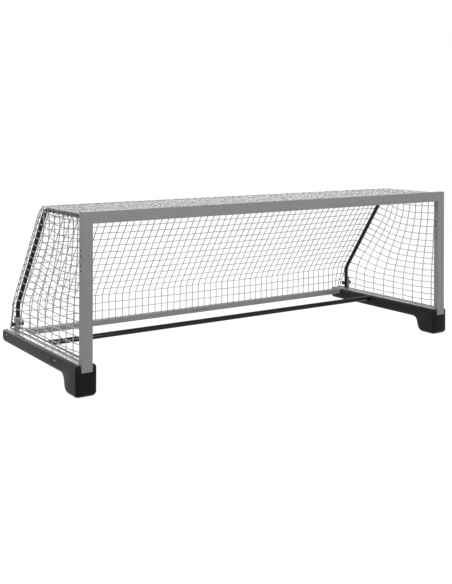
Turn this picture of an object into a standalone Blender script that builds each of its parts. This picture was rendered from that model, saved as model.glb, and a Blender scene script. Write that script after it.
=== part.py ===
"""Floating water polo goal. Metres, +Z up, +Y towards the back of the goal, +X to a player's right.

The origin lies under the middle of the goal, level with the soles of its two floats.
Depths are counted back from the front faces of the posts, heights up from the water line.
"""

import math

import bmesh
import bpy
from mathutils import Matrix, Vector

# Gaps
CLEAR = 0.0003  # between pieces that touch
RUN = 0.0005  # round a bolt that turns

# Goal mouth
HALF_MOUTH = 1.500  # middle of the goal to the inner face of a post
MOUTH_HEIGHT = 0.900  # water line to the underside of the crossbar

# Aluminium section of the posts, the crossbar and the side rails
BAR_FACE = 0.075
BAR_DEPTH = 0.040
BAR_WALL = 0.0025
BAR_CORNER = 0.003
TRACK_MOUTH = 0.030
TRACK_DEPTH = 0.012
TRACK_LIP = 0.002

# Splices of the posts and of the rear bar
POST_SPLICE = 0.678  # height of the joint in each post
REAR_SPLICE_X = -0.0145
SLEEVE_LENGTH = 0.160
SLEEVE_WALL = 0.003
SCREW_PITCH = 0.031
SCREW_INNER = 0.030  # joint to the nearest screw
SCREW_DEPTH = 0.0185  # behind the front of the post
SCREW_RADIUS = 0.0022
SCREW_HEAD_RADIUS = 0.0045
SCREW_HEAD_HEIGHT = 0.0018
SCREW_CROWN = 0.75  # share of a head's radius and height at which its dome breaks

# Floats
FLOAT_SETBACK = 0.007  # nose of the float behind the front of the post
FLOAT_LENGTH = 1.248
FLOAT_WIDTH = 0.140
DECK = 0.042
KEEL = 0.0465  # underside of the beam, below the water line
SOLE = 0.155  # underside of the foot, below the water line
FOOT_LENGTH = 0.1725
FOOT_RAKE = math.radians(15.7)
FOOT_ROUND = 0.050
NOSE_ROUND = 0.030
STERN_ROUND = 0.030
STERN_ROUND_SHARE = 0.7  # of the height of the beam, at the most
DECK_ROUND = 0.018  # where the nose and the stern meet the deck
KEEL_EDGE = 0.024  # rounding of the long lower edges
DECK_EDGE = 0.016  # of the long upper edges
END_EDGE = 0.014  # and of the upright edges
LIP_ROUND = 0.008
FLOAT_WALL = 0.005
STERN_WALL = 0.015  # behind the end of the rail
FILLING_SLOT = 0.060
FLOAT_BOLT_FRONT = 0.333
FLOAT_BOLT_STERN_SETBACK = 0.075
FLOAT_BOLT_HEIGHT = 0.0115
FLOAT_BOLT_RADIUS = 0.004
FLOAT_BOLT_WASHER = (0.0104, 0.0015)  # radius and thickness
FLOAT_BOLT_HEAD = (0.0074, 0.006)
FLOAT_BOLT_LAP = 0.0005  # how far its shank, washer and head run into each other
RECESS_RADIUS = 0.017
RECESS_DEPTH = 0.0085

# Side rails
RAIL_CAP = 0.003
CAP_TONGUE = 0.015
CORNER_LEG = 0.115
RAIL_SCREW_EDGE = 0.009
RAIL_SCREW_RADIUS = 0.005
RAIL_SCREW_HEIGHT = 0.0022
RAIL_SCREW_FRONT = 0.300
RAIL_SCREW_NOSE = 0.062

# Bars across the base
REAR_BAR = 0.040
REAR_BAR_STERN_SETBACK = 0.090
LOWER_TUBE_AHEAD = 0.393  # in front of the middle of the rear bar
LOWER_TUBE_RADIUS = 0.019
TUBE_WALL = 0.002
INSERT_LENGTH = 0.030
STUD_RADIUS = 0.004
STUD_REACH = 0.012

# Net arms
ARM_RADIUS = 0.016
ARM_OUTBOARD = 0.0025  # of the middle of the post
ARM_DROP = 0.033  # below the top of the crossbar
ARM_REACH = 0.592  # from the back of the post to the upper bend
ARM_FOOT_AHEAD = 0.018  # in front of the middle of the rear bar
ARM_LOW_BEND = 0.185  # above the deck
ARM_END = 0.018  # above the deck
UPPER_BEND_RADIUS = 0.080
LOWER_BEND_RADIUS = 0.100
SPIGOT_LENGTH = 0.040
SOCKET_PLATE = (0.060, 0.003, 0.031)
SOCKET_SCREW = (0.024, 0.010)
SOCKET_SCREW_RADIUS = 0.0036
PLUG_RIM = 0.003
PLUG_LENGTH = 0.012

# Brackets, clamp bolts and knobs
BRACKET_LENGTH = 0.040
BRACKET_HEIGHT = 0.101
BRACKET_WEB = 0.0215  # outer face of the web, from the middle of the arm
BRACKET_OPEN_EDGE = 0.003  # edge of the flanges, inboard of the middle of the arm
BRACKET_WEB_WALL = 0.004
BRACKET_FLANGE_WALL = 0.003
BRACKET_CORNER = 0.004
CLAMP_HEIGHT = 0.051  # above the deck
CLAMP_BOLT_RADIUS = 0.004
CLAMP_BOLT_TIP = 0.0032  # radius of its chamfered ends
SADDLE_WIDTH = 0.028
SADDLE_OVERLAP = 0.007
KNOB_LENGTH = 0.024
KNOB_HUB_LENGTH = 0.008
KNOB_HUB_RADIUS = 0.010
KNOB_RADIUS = 0.0155
KNOB_LOBE = 0.0020
KNOB_LOBES = 5
KNOB_EDGE = 0.0020
KNOB_SOCKET = 0.018  # depth of the bolt in the outer knob
KNOB_NUT = 0.0192  # depth of the bolt in the inner knob

# Net, with a coarser mesh than the real one
NET_STRAND = 0.004
NET_COLUMNS = 20
TOP_ROWS = 4
BACK_ROWS = 6
SIDE_COLUMNS = 6
SIDE_ROWS = 6
HEM_CORD_RADIUS = 0.004
HEM_CORD_STOP = 0.012

# Facets
ARC = 3
WIDE_ARC = 5
ROUND = 12
SMALL_ROUND = 8
HEXAGON = 6
LOBE_STEPS = 5
MERGE = 1e-6
SHARP_EDGE = math.radians(60)
SMOOTH_EDGE = math.radians(35)

# Worked out from the sizes above
FRONT = -(FLOAT_SETBACK + FLOAT_LENGTH) / 2
STERN = FLOAT_SETBACK + FLOAT_LENGTH
POST_X = HALF_MOUTH + BAR_FACE / 2
TOP = MOUTH_HEIGHT + BAR_FACE
TRACK_FLOOR = BAR_DEPTH - TRACK_DEPTH
CHAMBER = TRACK_FLOOR - 2 * BAR_WALL
RAIL_BASE = DECK - BAR_DEPTH
RAIL_END = STERN - STERN_WALL - CLEAR
REAR_BAR_DEPTH = STERN - REAR_BAR_STERN_SETBACK - REAR_BAR / 2
LOWER_TUBE_DEPTH = REAR_BAR_DEPTH - LOWER_TUBE_AHEAD
BASE_BAR_HEIGHT = DECK - REAR_BAR / 2
ARM_X = POST_X + ARM_OUTBOARD
ARM_TOP = TOP - ARM_DROP
ARM_FOOT = REAR_BAR_DEPTH - ARM_FOOT_AHEAD
ARM_BEND = BAR_DEPTH + ARM_REACH
ARM_BORE = ARM_RADIUS - TUBE_WALL
CLAMP = DECK + CLAMP_HEIGHT

X_AXIS, Y_AXIS, Z_AXIS = Vector((1, 0, 0)), Vector((0, 1, 0)), Vector((0, 0, 1))


def at(x, depth, height):
    """A point of the goal, in world coordinates."""
    return Vector((x, FRONT + depth, SOLE + height))


# Shapes


def linked(name, data):
    obj = bpy.data.objects.new(name, data)
    bpy.context.scene.collection.objects.link(obj)
    return obj


def from_bmesh(name, shape):
    mesh = bpy.data.meshes.new(name)
    bmesh.ops.recalc_face_normals(shape, faces=shape.faces)
    shape.to_mesh(mesh)
    shape.free()
    return linked(name, mesh)


def evaluated_mesh(obj):
    bpy.context.view_layer.update()
    graph = bpy.context.evaluated_depsgraph_get()
    return bpy.data.meshes.new_from_object(obj.evaluated_get(graph))


def bake(obj):
    """Applies the object's modifiers."""
    mesh = evaluated_mesh(obj)
    obj.modifiers.clear()
    obj.data = mesh
    return obj


def meshed(curve_object):
    """The closed mesh of a curve object, which it replaces."""
    shape = bmesh.new()
    shape.from_mesh(evaluated_mesh(curve_object))
    bmesh.ops.remove_doubles(shape, verts=shape.verts, dist=MERGE)
    name, world = curve_object.name, curve_object.matrix_world.copy()
    bpy.data.objects.remove(curve_object)
    obj = from_bmesh(name, shape)
    obj.matrix_world = world
    return obj


def combined(obj, other, operation="DIFFERENCE"):
    """obj with the other solid cut from it or, by UNION, joined to it."""
    modifier = obj.modifiers.new(operation.title(), "BOOLEAN")
    modifier.operation = operation
    modifier.object = other
    bake(obj)
    bpy.data.objects.remove(other)
    return obj


def box(name, low, high):
    shape = bmesh.new()
    bmesh.ops.create_cube(shape, size=1)
    low, high = Vector(low), Vector(high)
    for vertex in shape.verts:
        share = vertex.co + Vector((0.5, 0.5, 0.5))
        vertex.co = low + Vector(share[i] * (high - low)[i] for i in range(3))
    return from_bmesh(name, shape)


def rod(name, start, end, radius, sides=ROUND):
    """A cylinder, or a prism with few sides, between two points."""
    shape = bmesh.new()
    length = (end - start).length
    bmesh.ops.create_cone(
        shape, cap_ends=True, segments=sides, radius1=radius, radius2=radius, depth=length
    )
    turn = (end - start).to_track_quat("Z", "Y").to_matrix().to_4x4()
    bmesh.ops.transform(shape, matrix=Matrix.Translation((start + end) / 2) @ turn, verts=shape.verts)
    return from_bmesh(name, shape)


def rounded(corners):
    """The points of an outline or path given as corners (x, y, radius, steps)."""
    points = []
    for i, (x, y, radius, steps) in enumerate(corners):
        corner = Vector((x, y))
        if not radius:
            points.append(corner)
            continue
        before = (Vector(corners[i - 1][:2]) - corner).normalized()
        after = (Vector(corners[(i + 1) % len(corners)][:2]) - corner).normalized()
        half = before.angle(after) / 2
        centre = corner + (before + after).normalized() * (radius / math.sin(half))
        start = corner + before * (radius / math.tan(half)) - centre
        end = corner + after * (radius / math.tan(half)) - centre
        points += [centre + radius * start.slerp(end, step / steps) for step in range(steps + 1)]
    return points


def inset(corners, wall):
    """A counter-clockwise outline of corners, moved this far inwards."""
    inner = []
    for i, (x, y, radius, steps) in enumerate(corners):
        corner = Vector((x, y))
        before = (corner - Vector(corners[i - 1][:2])).normalized()
        after = (Vector(corners[(i + 1) % len(corners)][:2]) - corner).normalized()
        inwards = Vector((-before.y - after.y, before.x + after.x))
        place = corner + inwards * (2 * wall / inwards.length_squared)
        turn = before.x * after.y - before.y * after.x
        inner.append((place.x, place.y, max(radius - math.copysign(wall, turn), 0), steps))
    return inner


def plate(name, loops, low, high):
    """A flat outline, with its holes, as a solid between two heights of its own z axis."""
    curve = bpy.data.curves.new(name, "CURVE")
    curve.dimensions = "2D"
    curve.fill_mode = "BOTH"
    curve.extrude = (high - low) / 2
    for loop in loops:
        spline = curve.splines.new("POLY")
        spline.points.add(len(loop) - 1)
        for point, place in zip(spline.points, loop):
            point.co = (place[0], place[1], 0, 1)
        spline.use_cyclic_u = True
    obj = meshed(linked(name, curve))
    obj.data.transform(Matrix.Translation((0, 0, (low + high) / 2)))
    return obj


def tube(name, points, radius, sides=ROUND):
    """A round bar along a path."""
    curve = bpy.data.curves.new(name, "CURVE")
    curve.dimensions = "3D"
    curve.bevel_depth = radius
    curve.bevel_resolution = (sides - 4) // 2
    curve.use_fill_caps = True
    spline = curve.splines.new("POLY")
    spline.points.add(len(points) - 1)
    for point, place in zip(spline.points, points):
        point.co = (*place, 1)
    return meshed(linked(name, curve))


def turned(name, profile, sides=ROUND):
    """A profile of (radius, z), from the top down, turned about the z axis."""
    shape = bmesh.new()
    vertices = [shape.verts.new((radius, 0, z)) for radius, z in profile]
    for first, second in zip(vertices, vertices[1:]):
        shape.edges.new((first, second))
    mesh = bpy.data.meshes.new(name)
    shape.to_mesh(mesh)
    shape.free()
    obj = linked(name, mesh)
    screw = obj.modifiers.new("Turn", "SCREW")
    screw.steps = screw.render_steps = sides
    screw.use_merge_vertices = True
    screw.merge_threshold = MERGE
    bake(obj)
    shape = bmesh.new()
    shape.from_mesh(obj.data)
    bmesh.ops.remove_doubles(shape, verts=shape.verts, dist=MERGE)
    bpy.data.objects.remove(obj)
    return from_bmesh(name, shape)


def placed(obj, place, x_axis, y_axis):
    """Sets the object's own axes along these and its origin at a place."""
    axes = Matrix((x_axis, y_axis, x_axis.cross(y_axis))).transposed().to_4x4()
    obj.matrix_world = Matrix.Translation(place) @ axes
    return obj


def settled(obj):
    """Moves the object's origin to the middle of its box."""
    low = Vector(min(v.co[i] for v in obj.data.vertices) for i in range(3))
    high = Vector(max(v.co[i] for v in obj.data.vertices) for i in range(3))
    middle = (low + high) / 2
    obj.data.transform(Matrix.Translation(-middle))
    obj.matrix_world = obj.matrix_world @ Matrix.Translation(middle)
    return obj


def mirrored(obj, name):
    """A copy of a right-hand piece for the left side."""
    flip = Matrix.Diagonal((-1, 1, 1, 1))
    copy = linked(name, obj.data.copy())
    copy.data.transform(flip)
    copy.data.flip_normals()
    copy.matrix_world = flip @ obj.matrix_world @ flip
    return copy


def screw_head(name, seat, outwards, radius, height, shank_radius=0.0, shank=0.0):
    """A low domed head that stands on a seat, with a shank below it where it has one."""
    profile = [(0, height), (SCREW_CROWN * radius, SCREW_CROWN * height), (radius, 0)]
    if shank:
        profile += [(shank_radius, 0), (shank_radius, -shank), (0, -shank)]
    else:
        profile += [(radius, -height), (0, -height)]
    obj = turned(name, profile, SMALL_ROUND)
    side = Z_AXIS if abs(outwards.z) < 0.5 else X_AXIS
    return placed(obj, seat, side, outwards.cross(side))


# Materials


def material(name, colour, roughness, metallic=0.0):
    made = bpy.data.materials.new(name)
    made.use_nodes = True
    shader = made.node_tree.nodes["Principled BSDF"]
    shader.inputs["Base Color"].default_value = (*colour, 1)
    shader.inputs["Roughness"].default_value = roughness
    shader.inputs["Metallic"].default_value = metallic
    made.diffuse_color = (*colour, 1)
    return made


def finished(obj, look):
    """Gives a piece its material, and smooth shading between its sharp edges."""
    obj.data.name = obj.name
    obj.data.materials.clear()
    obj.data.materials.append(look)
    obj.data.shade_smooth()
    obj.data.set_sharp_from_angle(angle=SMOOTH_EDGE)
    return obj


def both_sides(name, obj, look):
    """Names a right-hand piece, and adds its left-hand twin."""
    settled(obj)
    obj.name = name + "_right"
    return [finished(obj, look), finished(mirrored(obj, name + "_left"), look)]


# Section with a net track, and straight bars of it


def section_loops():
    """Outline and hollow, with x across the face and y back from it."""
    half, mouth = BAR_FACE / 2, TRACK_MOUTH / 2
    pocket, wall = mouth + TRACK_LIP, BAR_WALL
    back, lip = BAR_DEPTH, BAR_DEPTH - TRACK_LIP
    outer = rounded(
        [
            (-half, 0, BAR_CORNER, ARC), (half, 0, BAR_CORNER, ARC), (half, back, BAR_CORNER, ARC),
            (mouth, back, 0, 0), (mouth, lip, 0, 0), (pocket, lip, 0, 0), (pocket, TRACK_FLOOR, 0, 0),
            (-pocket, TRACK_FLOOR, 0, 0), (-pocket, lip, 0, 0), (-mouth, lip, 0, 0), (-mouth, back, 0, 0),
            (-half, back, BAR_CORNER, ARC),
        ]
    )
    floor, cheek = TRACK_FLOOR - wall, pocket + wall
    hollow = [
        (wall - half, wall), (half - wall, wall), (half - wall, back - wall), (cheek, back - wall),
        (cheek, floor), (-cheek, floor), (-cheek, back - wall), (wall - half, back - wall),
    ]
    return [outer, hollow]


def square_loops(size, wall, corner):
    half, inside = size / 2, size / 2 - wall
    outer = rounded([(x * half, y * half, corner, ARC) for x, y in ((-1, -1), (1, -1), (1, 1), (-1, 1))])
    return [outer, [(x * inside, y * inside) for x, y in ((-1, -1), (1, -1), (1, 1), (-1, 1))]]


def bar(name, loops, low, high):
    """A straight bar along its own z axis, whose ends are cut at low(x) and high(x)."""
    obj = plate(name, loops, 0, 1)
    for vertex in obj.data.vertices:
        vertex.co.z = high(vertex.co.x) if vertex.co.z > 0.5 else low(vertex.co.x)
    return obj


def splice_offsets():
    inner, outer = SCREW_INNER, SCREW_INNER + SCREW_PITCH
    return [-outer, -inner, inner, outer]


def drill(obj, place, axis, reach, radius):
    """Bores a hole along an axis, this far each way from a place."""
    return combined(obj, rod("drill", place - axis * reach, place + axis * reach, radius))


# Frame


def make_crossbar(look):
    middle = POST_X - CLEAR
    obj = bar("crossbar", section_loops(), lambda x: -middle - x, lambda x: middle + x)
    placed(obj, at(0, 0, MOUTH_HEIGHT + BAR_FACE / 2), Z_AXIS, Y_AXIS)
    return [finished(obj, look)]


def make_posts(look):
    """Upper legs mitred to the crossbar, and lower legs that stand in the floats."""
    mitre = MOUTH_HEIGHT + BAR_FACE / 2
    upper = bar("post_upper", section_loops(), lambda x: POST_SPLICE + CLEAR / 2, lambda x: mitre + x)
    lower = bar("post_lower", section_loops(), lambda x: CLEAR, lambda x: POST_SPLICE - CLEAR / 2)
    for obj in (upper, lower):
        placed(obj, at(POST_X, 0, 0), X_AXIS, Y_AXIS)
    for offset in splice_offsets():
        place = at(POST_X, SCREW_DEPTH, POST_SPLICE + offset)
        drill(upper if offset > 0 else lower, place, X_AXIS, BAR_FACE, SCREW_RADIUS + CLEAR)
    half = BAR_FACE / 2 - BAR_WALL + CLEAR
    doorway = box(
        "doorway",
        at(POST_X - half, BAR_WALL + CHAMBER - CLEAR, -CLEAR),
        at(POST_X + half, BAR_DEPTH + CLEAR, RAIL_BASE + BAR_WALL + CHAMBER),
    )
    combined(lower, doorway)
    return both_sides("post_upper", upper, look) + both_sides("post_lower", lower, look)


def make_post_sleeves(look):
    """Each sleeve bridges a joint, and carries its eight screws."""
    wide = BAR_FACE / 2 - BAR_WALL - CLEAR
    near, far = BAR_WALL + CLEAR, BAR_WALL + CHAMBER - CLEAR
    outer = [(-wide, near), (wide, near), (wide, far), (-wide, far)]
    corners = [(x, y, 0, 0) for x, y in outer]
    obj = plate(
        "post_sleeve", [outer, rounded(inset(corners, SLEEVE_WALL))], -SLEEVE_LENGTH / 2, SLEEVE_LENGTH / 2
    )
    placed(obj, at(POST_X, 0, POST_SPLICE), X_AXIS, Y_AXIS)
    shank = BAR_WALL + SLEEVE_WALL + CLEAR
    for side in (-1, 1):
        for offset in splice_offsets():
            seat = at(POST_X + side * (BAR_FACE / 2 + CLEAR), SCREW_DEPTH, POST_SPLICE + offset)
            head = screw_head(
                "head", seat, side * X_AXIS, SCREW_HEAD_RADIUS, SCREW_HEAD_HEIGHT, SCREW_RADIUS, shank
            )
            combined(obj, head, "UNION")
    return both_sides("post_sleeve", obj, look)


def make_corner_blocks(look):
    """A cast angle in each lower corner: one leg up the post, one back into the rail."""
    half = BAR_FACE / 2 - BAR_WALL - CLEAR
    near, far = BAR_WALL + CLEAR, BAR_WALL + CHAMBER - CLEAR
    bottom, top = RAIL_BASE + near, RAIL_BASE + far
    upright = box("corner_block", at(POST_X - half, near, bottom), at(POST_X + half, far, CORNER_LEG))
    leg = box("leg", at(POST_X - half, near, bottom), at(POST_X + half, BAR_DEPTH + CORNER_LEG, top))
    combined(upright, leg, "UNION")
    return both_sides("corner_block", upright, look)


def make_side_rails(look):
    """The rail lies in the float with its track up, behind the post."""
    obj = bar(
        "side_rail", section_loops(), lambda x: RAIL_CAP + CLEAR - RAIL_END, lambda x: -BAR_DEPTH - CLEAR
    )
    placed(obj, at(POST_X, 0, RAIL_BASE), X_AXIS, Z_AXIS)
    wall = at(POST_X + BAR_FACE / 2, 0, FLOAT_BOLT_HEIGHT)
    for depth in float_bolt_depths():
        drill(obj, wall + Y_AXIS * depth, X_AXIS, 2 * BAR_WALL, FLOAT_BOLT_RADIUS + CLEAR)
    wall = at(POST_X - BAR_FACE / 2, 0, BASE_BAR_HEIGHT)
    for depth in (LOWER_TUBE_DEPTH, REAR_BAR_DEPTH):
        drill(obj, wall + Y_AXIS * depth, X_AXIS, 2 * BAR_WALL, STUD_RADIUS + CLEAR)
    edge = BAR_FACE / 2 - RAIL_SCREW_EDGE
    screws = [(-edge, RAIL_SCREW_FRONT), (-edge, LOWER_TUBE_DEPTH), (-edge, ARM_FOOT - RAIL_SCREW_RADIUS)]
    screws += [(edge, RAIL_SCREW_NOSE), (edge, RAIL_SCREW_FRONT)]
    for x, depth in screws:
        head = screw_head("head", at(POST_X + x, depth, DECK), Z_AXIS, RAIL_SCREW_RADIUS, RAIL_SCREW_HEIGHT)
        combined(obj, head, "UNION")
    return both_sides("side_rail", obj, look)


def make_rail_caps(look):
    half, near, far = BAR_FACE / 2, BAR_WALL + CLEAR, BAR_WALL + CHAMBER - CLEAR
    corners = [(-half, 0), (half, 0), (half, BAR_DEPTH), (-half, BAR_DEPTH)]
    cap = plate("rail_end_cap", [rounded([(x, y, BAR_CORNER, ARC) for x, y in corners])], 0, RAIL_CAP)
    inside = half - BAR_WALL - CLEAR
    tongue = box("tongue", (-inside, near, RAIL_CAP / 2), (inside, far, RAIL_CAP + CAP_TONGUE))
    combined(cap, tongue, "UNION")
    placed(cap, at(POST_X, RAIL_END, RAIL_BASE), X_AXIS, Z_AXIS)
    return both_sides("rail_end_cap", cap, look)


# Floats


def float_corners(top, stern, top_round):
    """The side of the float, in depth and height: a foot under the post and a beam behind it."""
    rake = math.tan(FOOT_RAKE)
    heel = FLOAT_SETBACK + FOOT_LENGTH
    stern_round = min(STERN_ROUND, STERN_ROUND_SHARE * (KEEL + top - FLOAT_WALL))
    return [
        (FLOAT_SETBACK, -SOLE, NOSE_ROUND, ARC),
        (heel, -SOLE, FOOT_ROUND, WIDE_ARC),
        (heel + (SOLE - KEEL) * rake, -KEEL, FOOT_ROUND, WIDE_ARC),
        (stern, -KEEL, stern_round, WIDE_ARC),
        (stern, top, top_round, ARC),
        (FLOAT_SETBACK, top, top_round, ARC),
    ]


def edge_radius(outwards, wall, upper_edge):
    """Rounding between a side of the float and the face that points this way in depth and height."""
    long_edge = KEEL_EDGE if outwards.y < 0 else upper_edge
    return END_EDGE + (long_edge - END_EDGE) * abs(outwards.y) - wall


def soft_edged(name, outline, wall, upper_edge):
    """A side outline made a solid of the float's width less its walls, rounded along its edges."""
    half = FLOAT_WIDTH / 2 - wall
    shape = bmesh.new()
    turns = [step * math.pi / 2 / ARC for step in range(ARC + 1)]
    rings = []
    for side, turn in [(1, turn) for turn in turns] + [(-1, turn) for turn in reversed(turns)]:
        ring = []
        for i, point in enumerate(outline):
            before = (point - outline[i - 1]).normalized()
            after = (outline[(i + 1) % len(outline)] - point).normalized()
            inwards = Vector((-before.y - after.y, before.x + after.x))
            radius = edge_radius(-inwards.normalized(), wall, upper_edge)
            depth, height = point + inwards * (2 * radius * (1 - math.sin(turn)) / inwards.length_squared)
            x = POST_X + side * (half - radius * (1 - math.cos(turn)))
            ring.append(shape.verts.new(at(x, depth, height)))
        rings.append(ring)
    for near, far in zip(rings, rings[1:]):
        for i in range(len(outline)):
            shape.faces.new((near[i - 1], near[i], far[i]))
            shape.faces.new((near[i - 1], far[i], far[i - 1]))
    caps = [shape.faces.new(rings[0]), shape.faces.new(rings[-1])]
    shape.normal_update()
    bmesh.ops.triangulate(shape, faces=caps)
    return from_bmesh(name, shape)


def float_bolt_depths():
    return [FLOAT_BOLT_FRONT, STERN - FLOAT_BOLT_STERN_SETBACK]


def across(name, outline, low, high):
    """An outline of depth and height, made a solid between two places in x."""
    return placed(plate(name, [outline], low, high), at(0, 0, 0), Y_AXIS, Z_AXIS)


def along(name, outline, low, high):
    """An outline of x and height, made a solid between two depths."""
    return placed(plate(name, [outline], -high, -low), at(POST_X, 0, 0), X_AXIS, Z_AXIS)


def channel_outline():
    """The trough for the rail, with lips that round outwards at the deck."""
    half = BAR_FACE / 2 + CLEAR
    floor, above = RAIL_BASE - CLEAR, DECK + LIP_ROUND
    lip = [
        (half + LIP_ROUND * (1 - math.cos(turn)), DECK - LIP_ROUND * (1 - math.sin(turn)))
        for turn in (step * math.pi / 2 / ARC for step in range(ARC + 1))
    ]
    right = [(half, floor)] + lip + [(half + LIP_ROUND, above)]
    return right + [(-x, y) for x, y in reversed(right)]


def tube_notch():
    """The U in the inner shoulder, for the lower tube."""
    radius = LOWER_TUBE_RADIUS + CLEAR
    turns = [math.pi + step * math.pi / ROUND for step in range(ROUND + 1)]
    arc = [
        (LOWER_TUBE_DEPTH + radius * math.cos(turn), BASE_BAR_HEIGHT + radius * math.sin(turn))
        for turn in turns
    ]
    above = DECK + LIP_ROUND
    return arc + [(LOWER_TUBE_DEPTH + radius, above), (LOWER_TUBE_DEPTH - radius, above)]


def float_cavity(wall):
    corners = float_corners(0, STERN - STERN_WALL + FLOAT_WALL, 0)
    return rounded(inset(corners, wall))


def make_float_shells(look):
    half = FLOAT_WIDTH / 2
    shell = soft_edged("float_shell", rounded(float_corners(DECK, STERN, DECK_ROUND)), 0, DECK_EDGE)
    seat = BAR_FACE / 2 + CLEAR
    combined(shell, along("channel", channel_outline(), BAR_DEPTH / 2, RAIL_END + CLEAR))
    low, high = at(POST_X - seat, -BAR_DEPTH, 0), at(POST_X + seat, BAR_DEPTH + CLEAR, DECK + LIP_ROUND)
    combined(shell, box("pocket", low, high))
    combined(shell, soft_edged("cavity", float_cavity(FLOAT_WALL), FLOAT_WALL, END_EDGE))
    slot = FILLING_SLOT / 2
    low = at(POST_X - slot, BAR_DEPTH, -2 * FLOAT_WALL)
    combined(shell, box("slot", low, at(POST_X + slot, RAIL_END - STERN_WALL, DECK / 2)))
    low = at(POST_X - 2 * half, REAR_BAR_DEPTH - REAR_BAR / 2 - CLEAR, RAIL_BASE - CLEAR)
    high = at(POST_X, REAR_BAR_DEPTH + REAR_BAR / 2 + CLEAR, DECK + LIP_ROUND)
    combined(shell, box("notch", low, high))
    combined(shell, across("notch", tube_notch(), POST_X - 2 * half, POST_X))
    for depth in float_bolt_depths():
        face = at(POST_X + half, depth, FLOAT_BOLT_HEIGHT)
        reach = X_AXIS * RECESS_DEPTH
        combined(shell, rod("recess", face - reach, face + reach, RECESS_RADIUS, 2 * SMALL_ROUND))
        combined(shell, rod("hole", face - X_AXIS * (half - slot), face, FLOAT_BOLT_RADIUS + CLEAR))
    return both_sides("float_shell", shell, look)


def make_foam_cores(look):
    wall = FLOAT_WALL + CLEAR
    core = soft_edged("foam_core", float_cavity(wall), wall, END_EDGE)
    return both_sides("foam_core", core, look)


def make_float_bolts(look):
    """Hexagon bolts from the recesses of the float into the rail."""
    made = []
    for word, depth in zip(("front", "rear"), float_bolt_depths()):
        seat = at(POST_X + FLOAT_WIDTH / 2 - RECESS_DEPTH + CLEAR, depth, FLOAT_BOLT_HEIGHT)
        tip = at(POST_X + BAR_FACE / 2 - 2 * FLOAT_BOLT_RADIUS, depth, FLOAT_BOLT_HEIGHT)
        top = seat + X_AXIS * FLOAT_BOLT_WASHER[1]
        lap = X_AXIS * FLOAT_BOLT_LAP
        bolt = rod("float_bolt", tip, top + lap, FLOAT_BOLT_RADIUS)
        combined(bolt, rod("washer", seat, top, FLOAT_BOLT_WASHER[0], 2 * SMALL_ROUND), "UNION")
        head = rod("head", top - lap, top - lap + X_AXIS * FLOAT_BOLT_HEAD[1], FLOAT_BOLT_HEAD[0], HEXAGON)
        combined(bolt, head, "UNION")
        made += both_sides("float_bolt_" + word, bolt, look)
    return made


# Bars across the base


def make_rear_bar(look):
    end, gap = HALF_MOUTH - CLEAR, CLEAR / 2
    made = []
    for name, low, high in (
        ("rear_bar_left", -end, REAR_SPLICE_X - gap), ("rear_bar_right", REAR_SPLICE_X + gap, end)
    ):
        obj = bar(name, square_loops(REAR_BAR, BAR_WALL, BAR_CORNER), lambda x: low, lambda x: high)
        placed(obj, at(0, REAR_BAR_DEPTH, BASE_BAR_HEIGHT), Y_AXIS, Z_AXIS)
        for offset in splice_offsets():
            if low < REAR_SPLICE_X + offset < high:
                place = at(REAR_SPLICE_X + offset, REAR_BAR_DEPTH - REAR_BAR / 2, BASE_BAR_HEIGHT)
                drill(obj, place, Y_AXIS, 2 * BAR_WALL, SCREW_RADIUS + CLEAR)
        made.append(finished(settled(obj), look))
    return made


def make_rear_bar_sleeve(look):
    size, half = REAR_BAR - 2 * BAR_WALL - 2 * CLEAR, SLEEVE_LENGTH / 2
    obj = plate("rear_bar_sleeve", square_loops(size, SLEEVE_WALL, BAR_CORNER / 2), -half, half)
    placed(obj, at(REAR_SPLICE_X, REAR_BAR_DEPTH, BASE_BAR_HEIGHT), Y_AXIS, Z_AXIS)
    shank = BAR_WALL + SLEEVE_WALL + CLEAR
    for offset in splice_offsets():
        seat = at(REAR_SPLICE_X + offset, REAR_BAR_DEPTH - REAR_BAR / 2 - CLEAR, BASE_BAR_HEIGHT)
        head = screw_head("head", seat, -Y_AXIS, SCREW_HEAD_RADIUS, SCREW_HEAD_HEIGHT, SCREW_RADIUS, shank)
        combined(obj, head, "UNION")
    return [finished(obj, look)]


def make_rear_bar_inserts(look):
    """A block in each end of the rear bar, with a stud into the rail."""
    half, end = REAR_BAR / 2 - BAR_WALL - CLEAR, HALF_MOUTH - CLEAR
    low = at(end - INSERT_LENGTH, REAR_BAR_DEPTH - half, BASE_BAR_HEIGHT - half)
    obj = box("rear_bar_insert", low, at(end, REAR_BAR_DEPTH + half, BASE_BAR_HEIGHT + half))
    middle, reach = at(end, REAR_BAR_DEPTH, BASE_BAR_HEIGHT), X_AXIS * STUD_REACH
    combined(obj, rod("stud", middle - reach, middle + reach, STUD_RADIUS), "UNION")
    return both_sides("rear_bar_insert", obj, look)


def make_lower_tube(look):
    end, bore = HALF_MOUTH - CLEAR, LOWER_TUBE_RADIUS - TUBE_WALL
    radius = LOWER_TUBE_RADIUS
    profile = [(radius, end), (radius, -end), (bore, -end), (bore, end), (radius, end)]
    obj = turned("lower_tube", profile, 2 * ROUND)
    placed(obj, at(0, LOWER_TUBE_DEPTH, BASE_BAR_HEIGHT), Y_AXIS, Z_AXIS)
    return [finished(obj, look)]


def make_lower_tube_inserts(look):
    """A plug in each end of the lower tube, with a stud into the rail."""
    radius = LOWER_TUBE_RADIUS - TUBE_WALL - CLEAR
    profile = [
        (0, STUD_REACH), (STUD_RADIUS, STUD_REACH), (STUD_RADIUS, 0), (radius, 0),
        (radius, -INSERT_LENGTH), (0, -INSERT_LENGTH),
    ]
    obj = turned("lower_tube_insert", profile, 2 * ROUND)
    placed(obj, at(HALF_MOUTH - CLEAR, LOWER_TUBE_DEPTH, BASE_BAR_HEIGHT), Y_AXIS, Z_AXIS)
    return both_sides("lower_tube_insert", obj, look)


# Net arms


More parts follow.
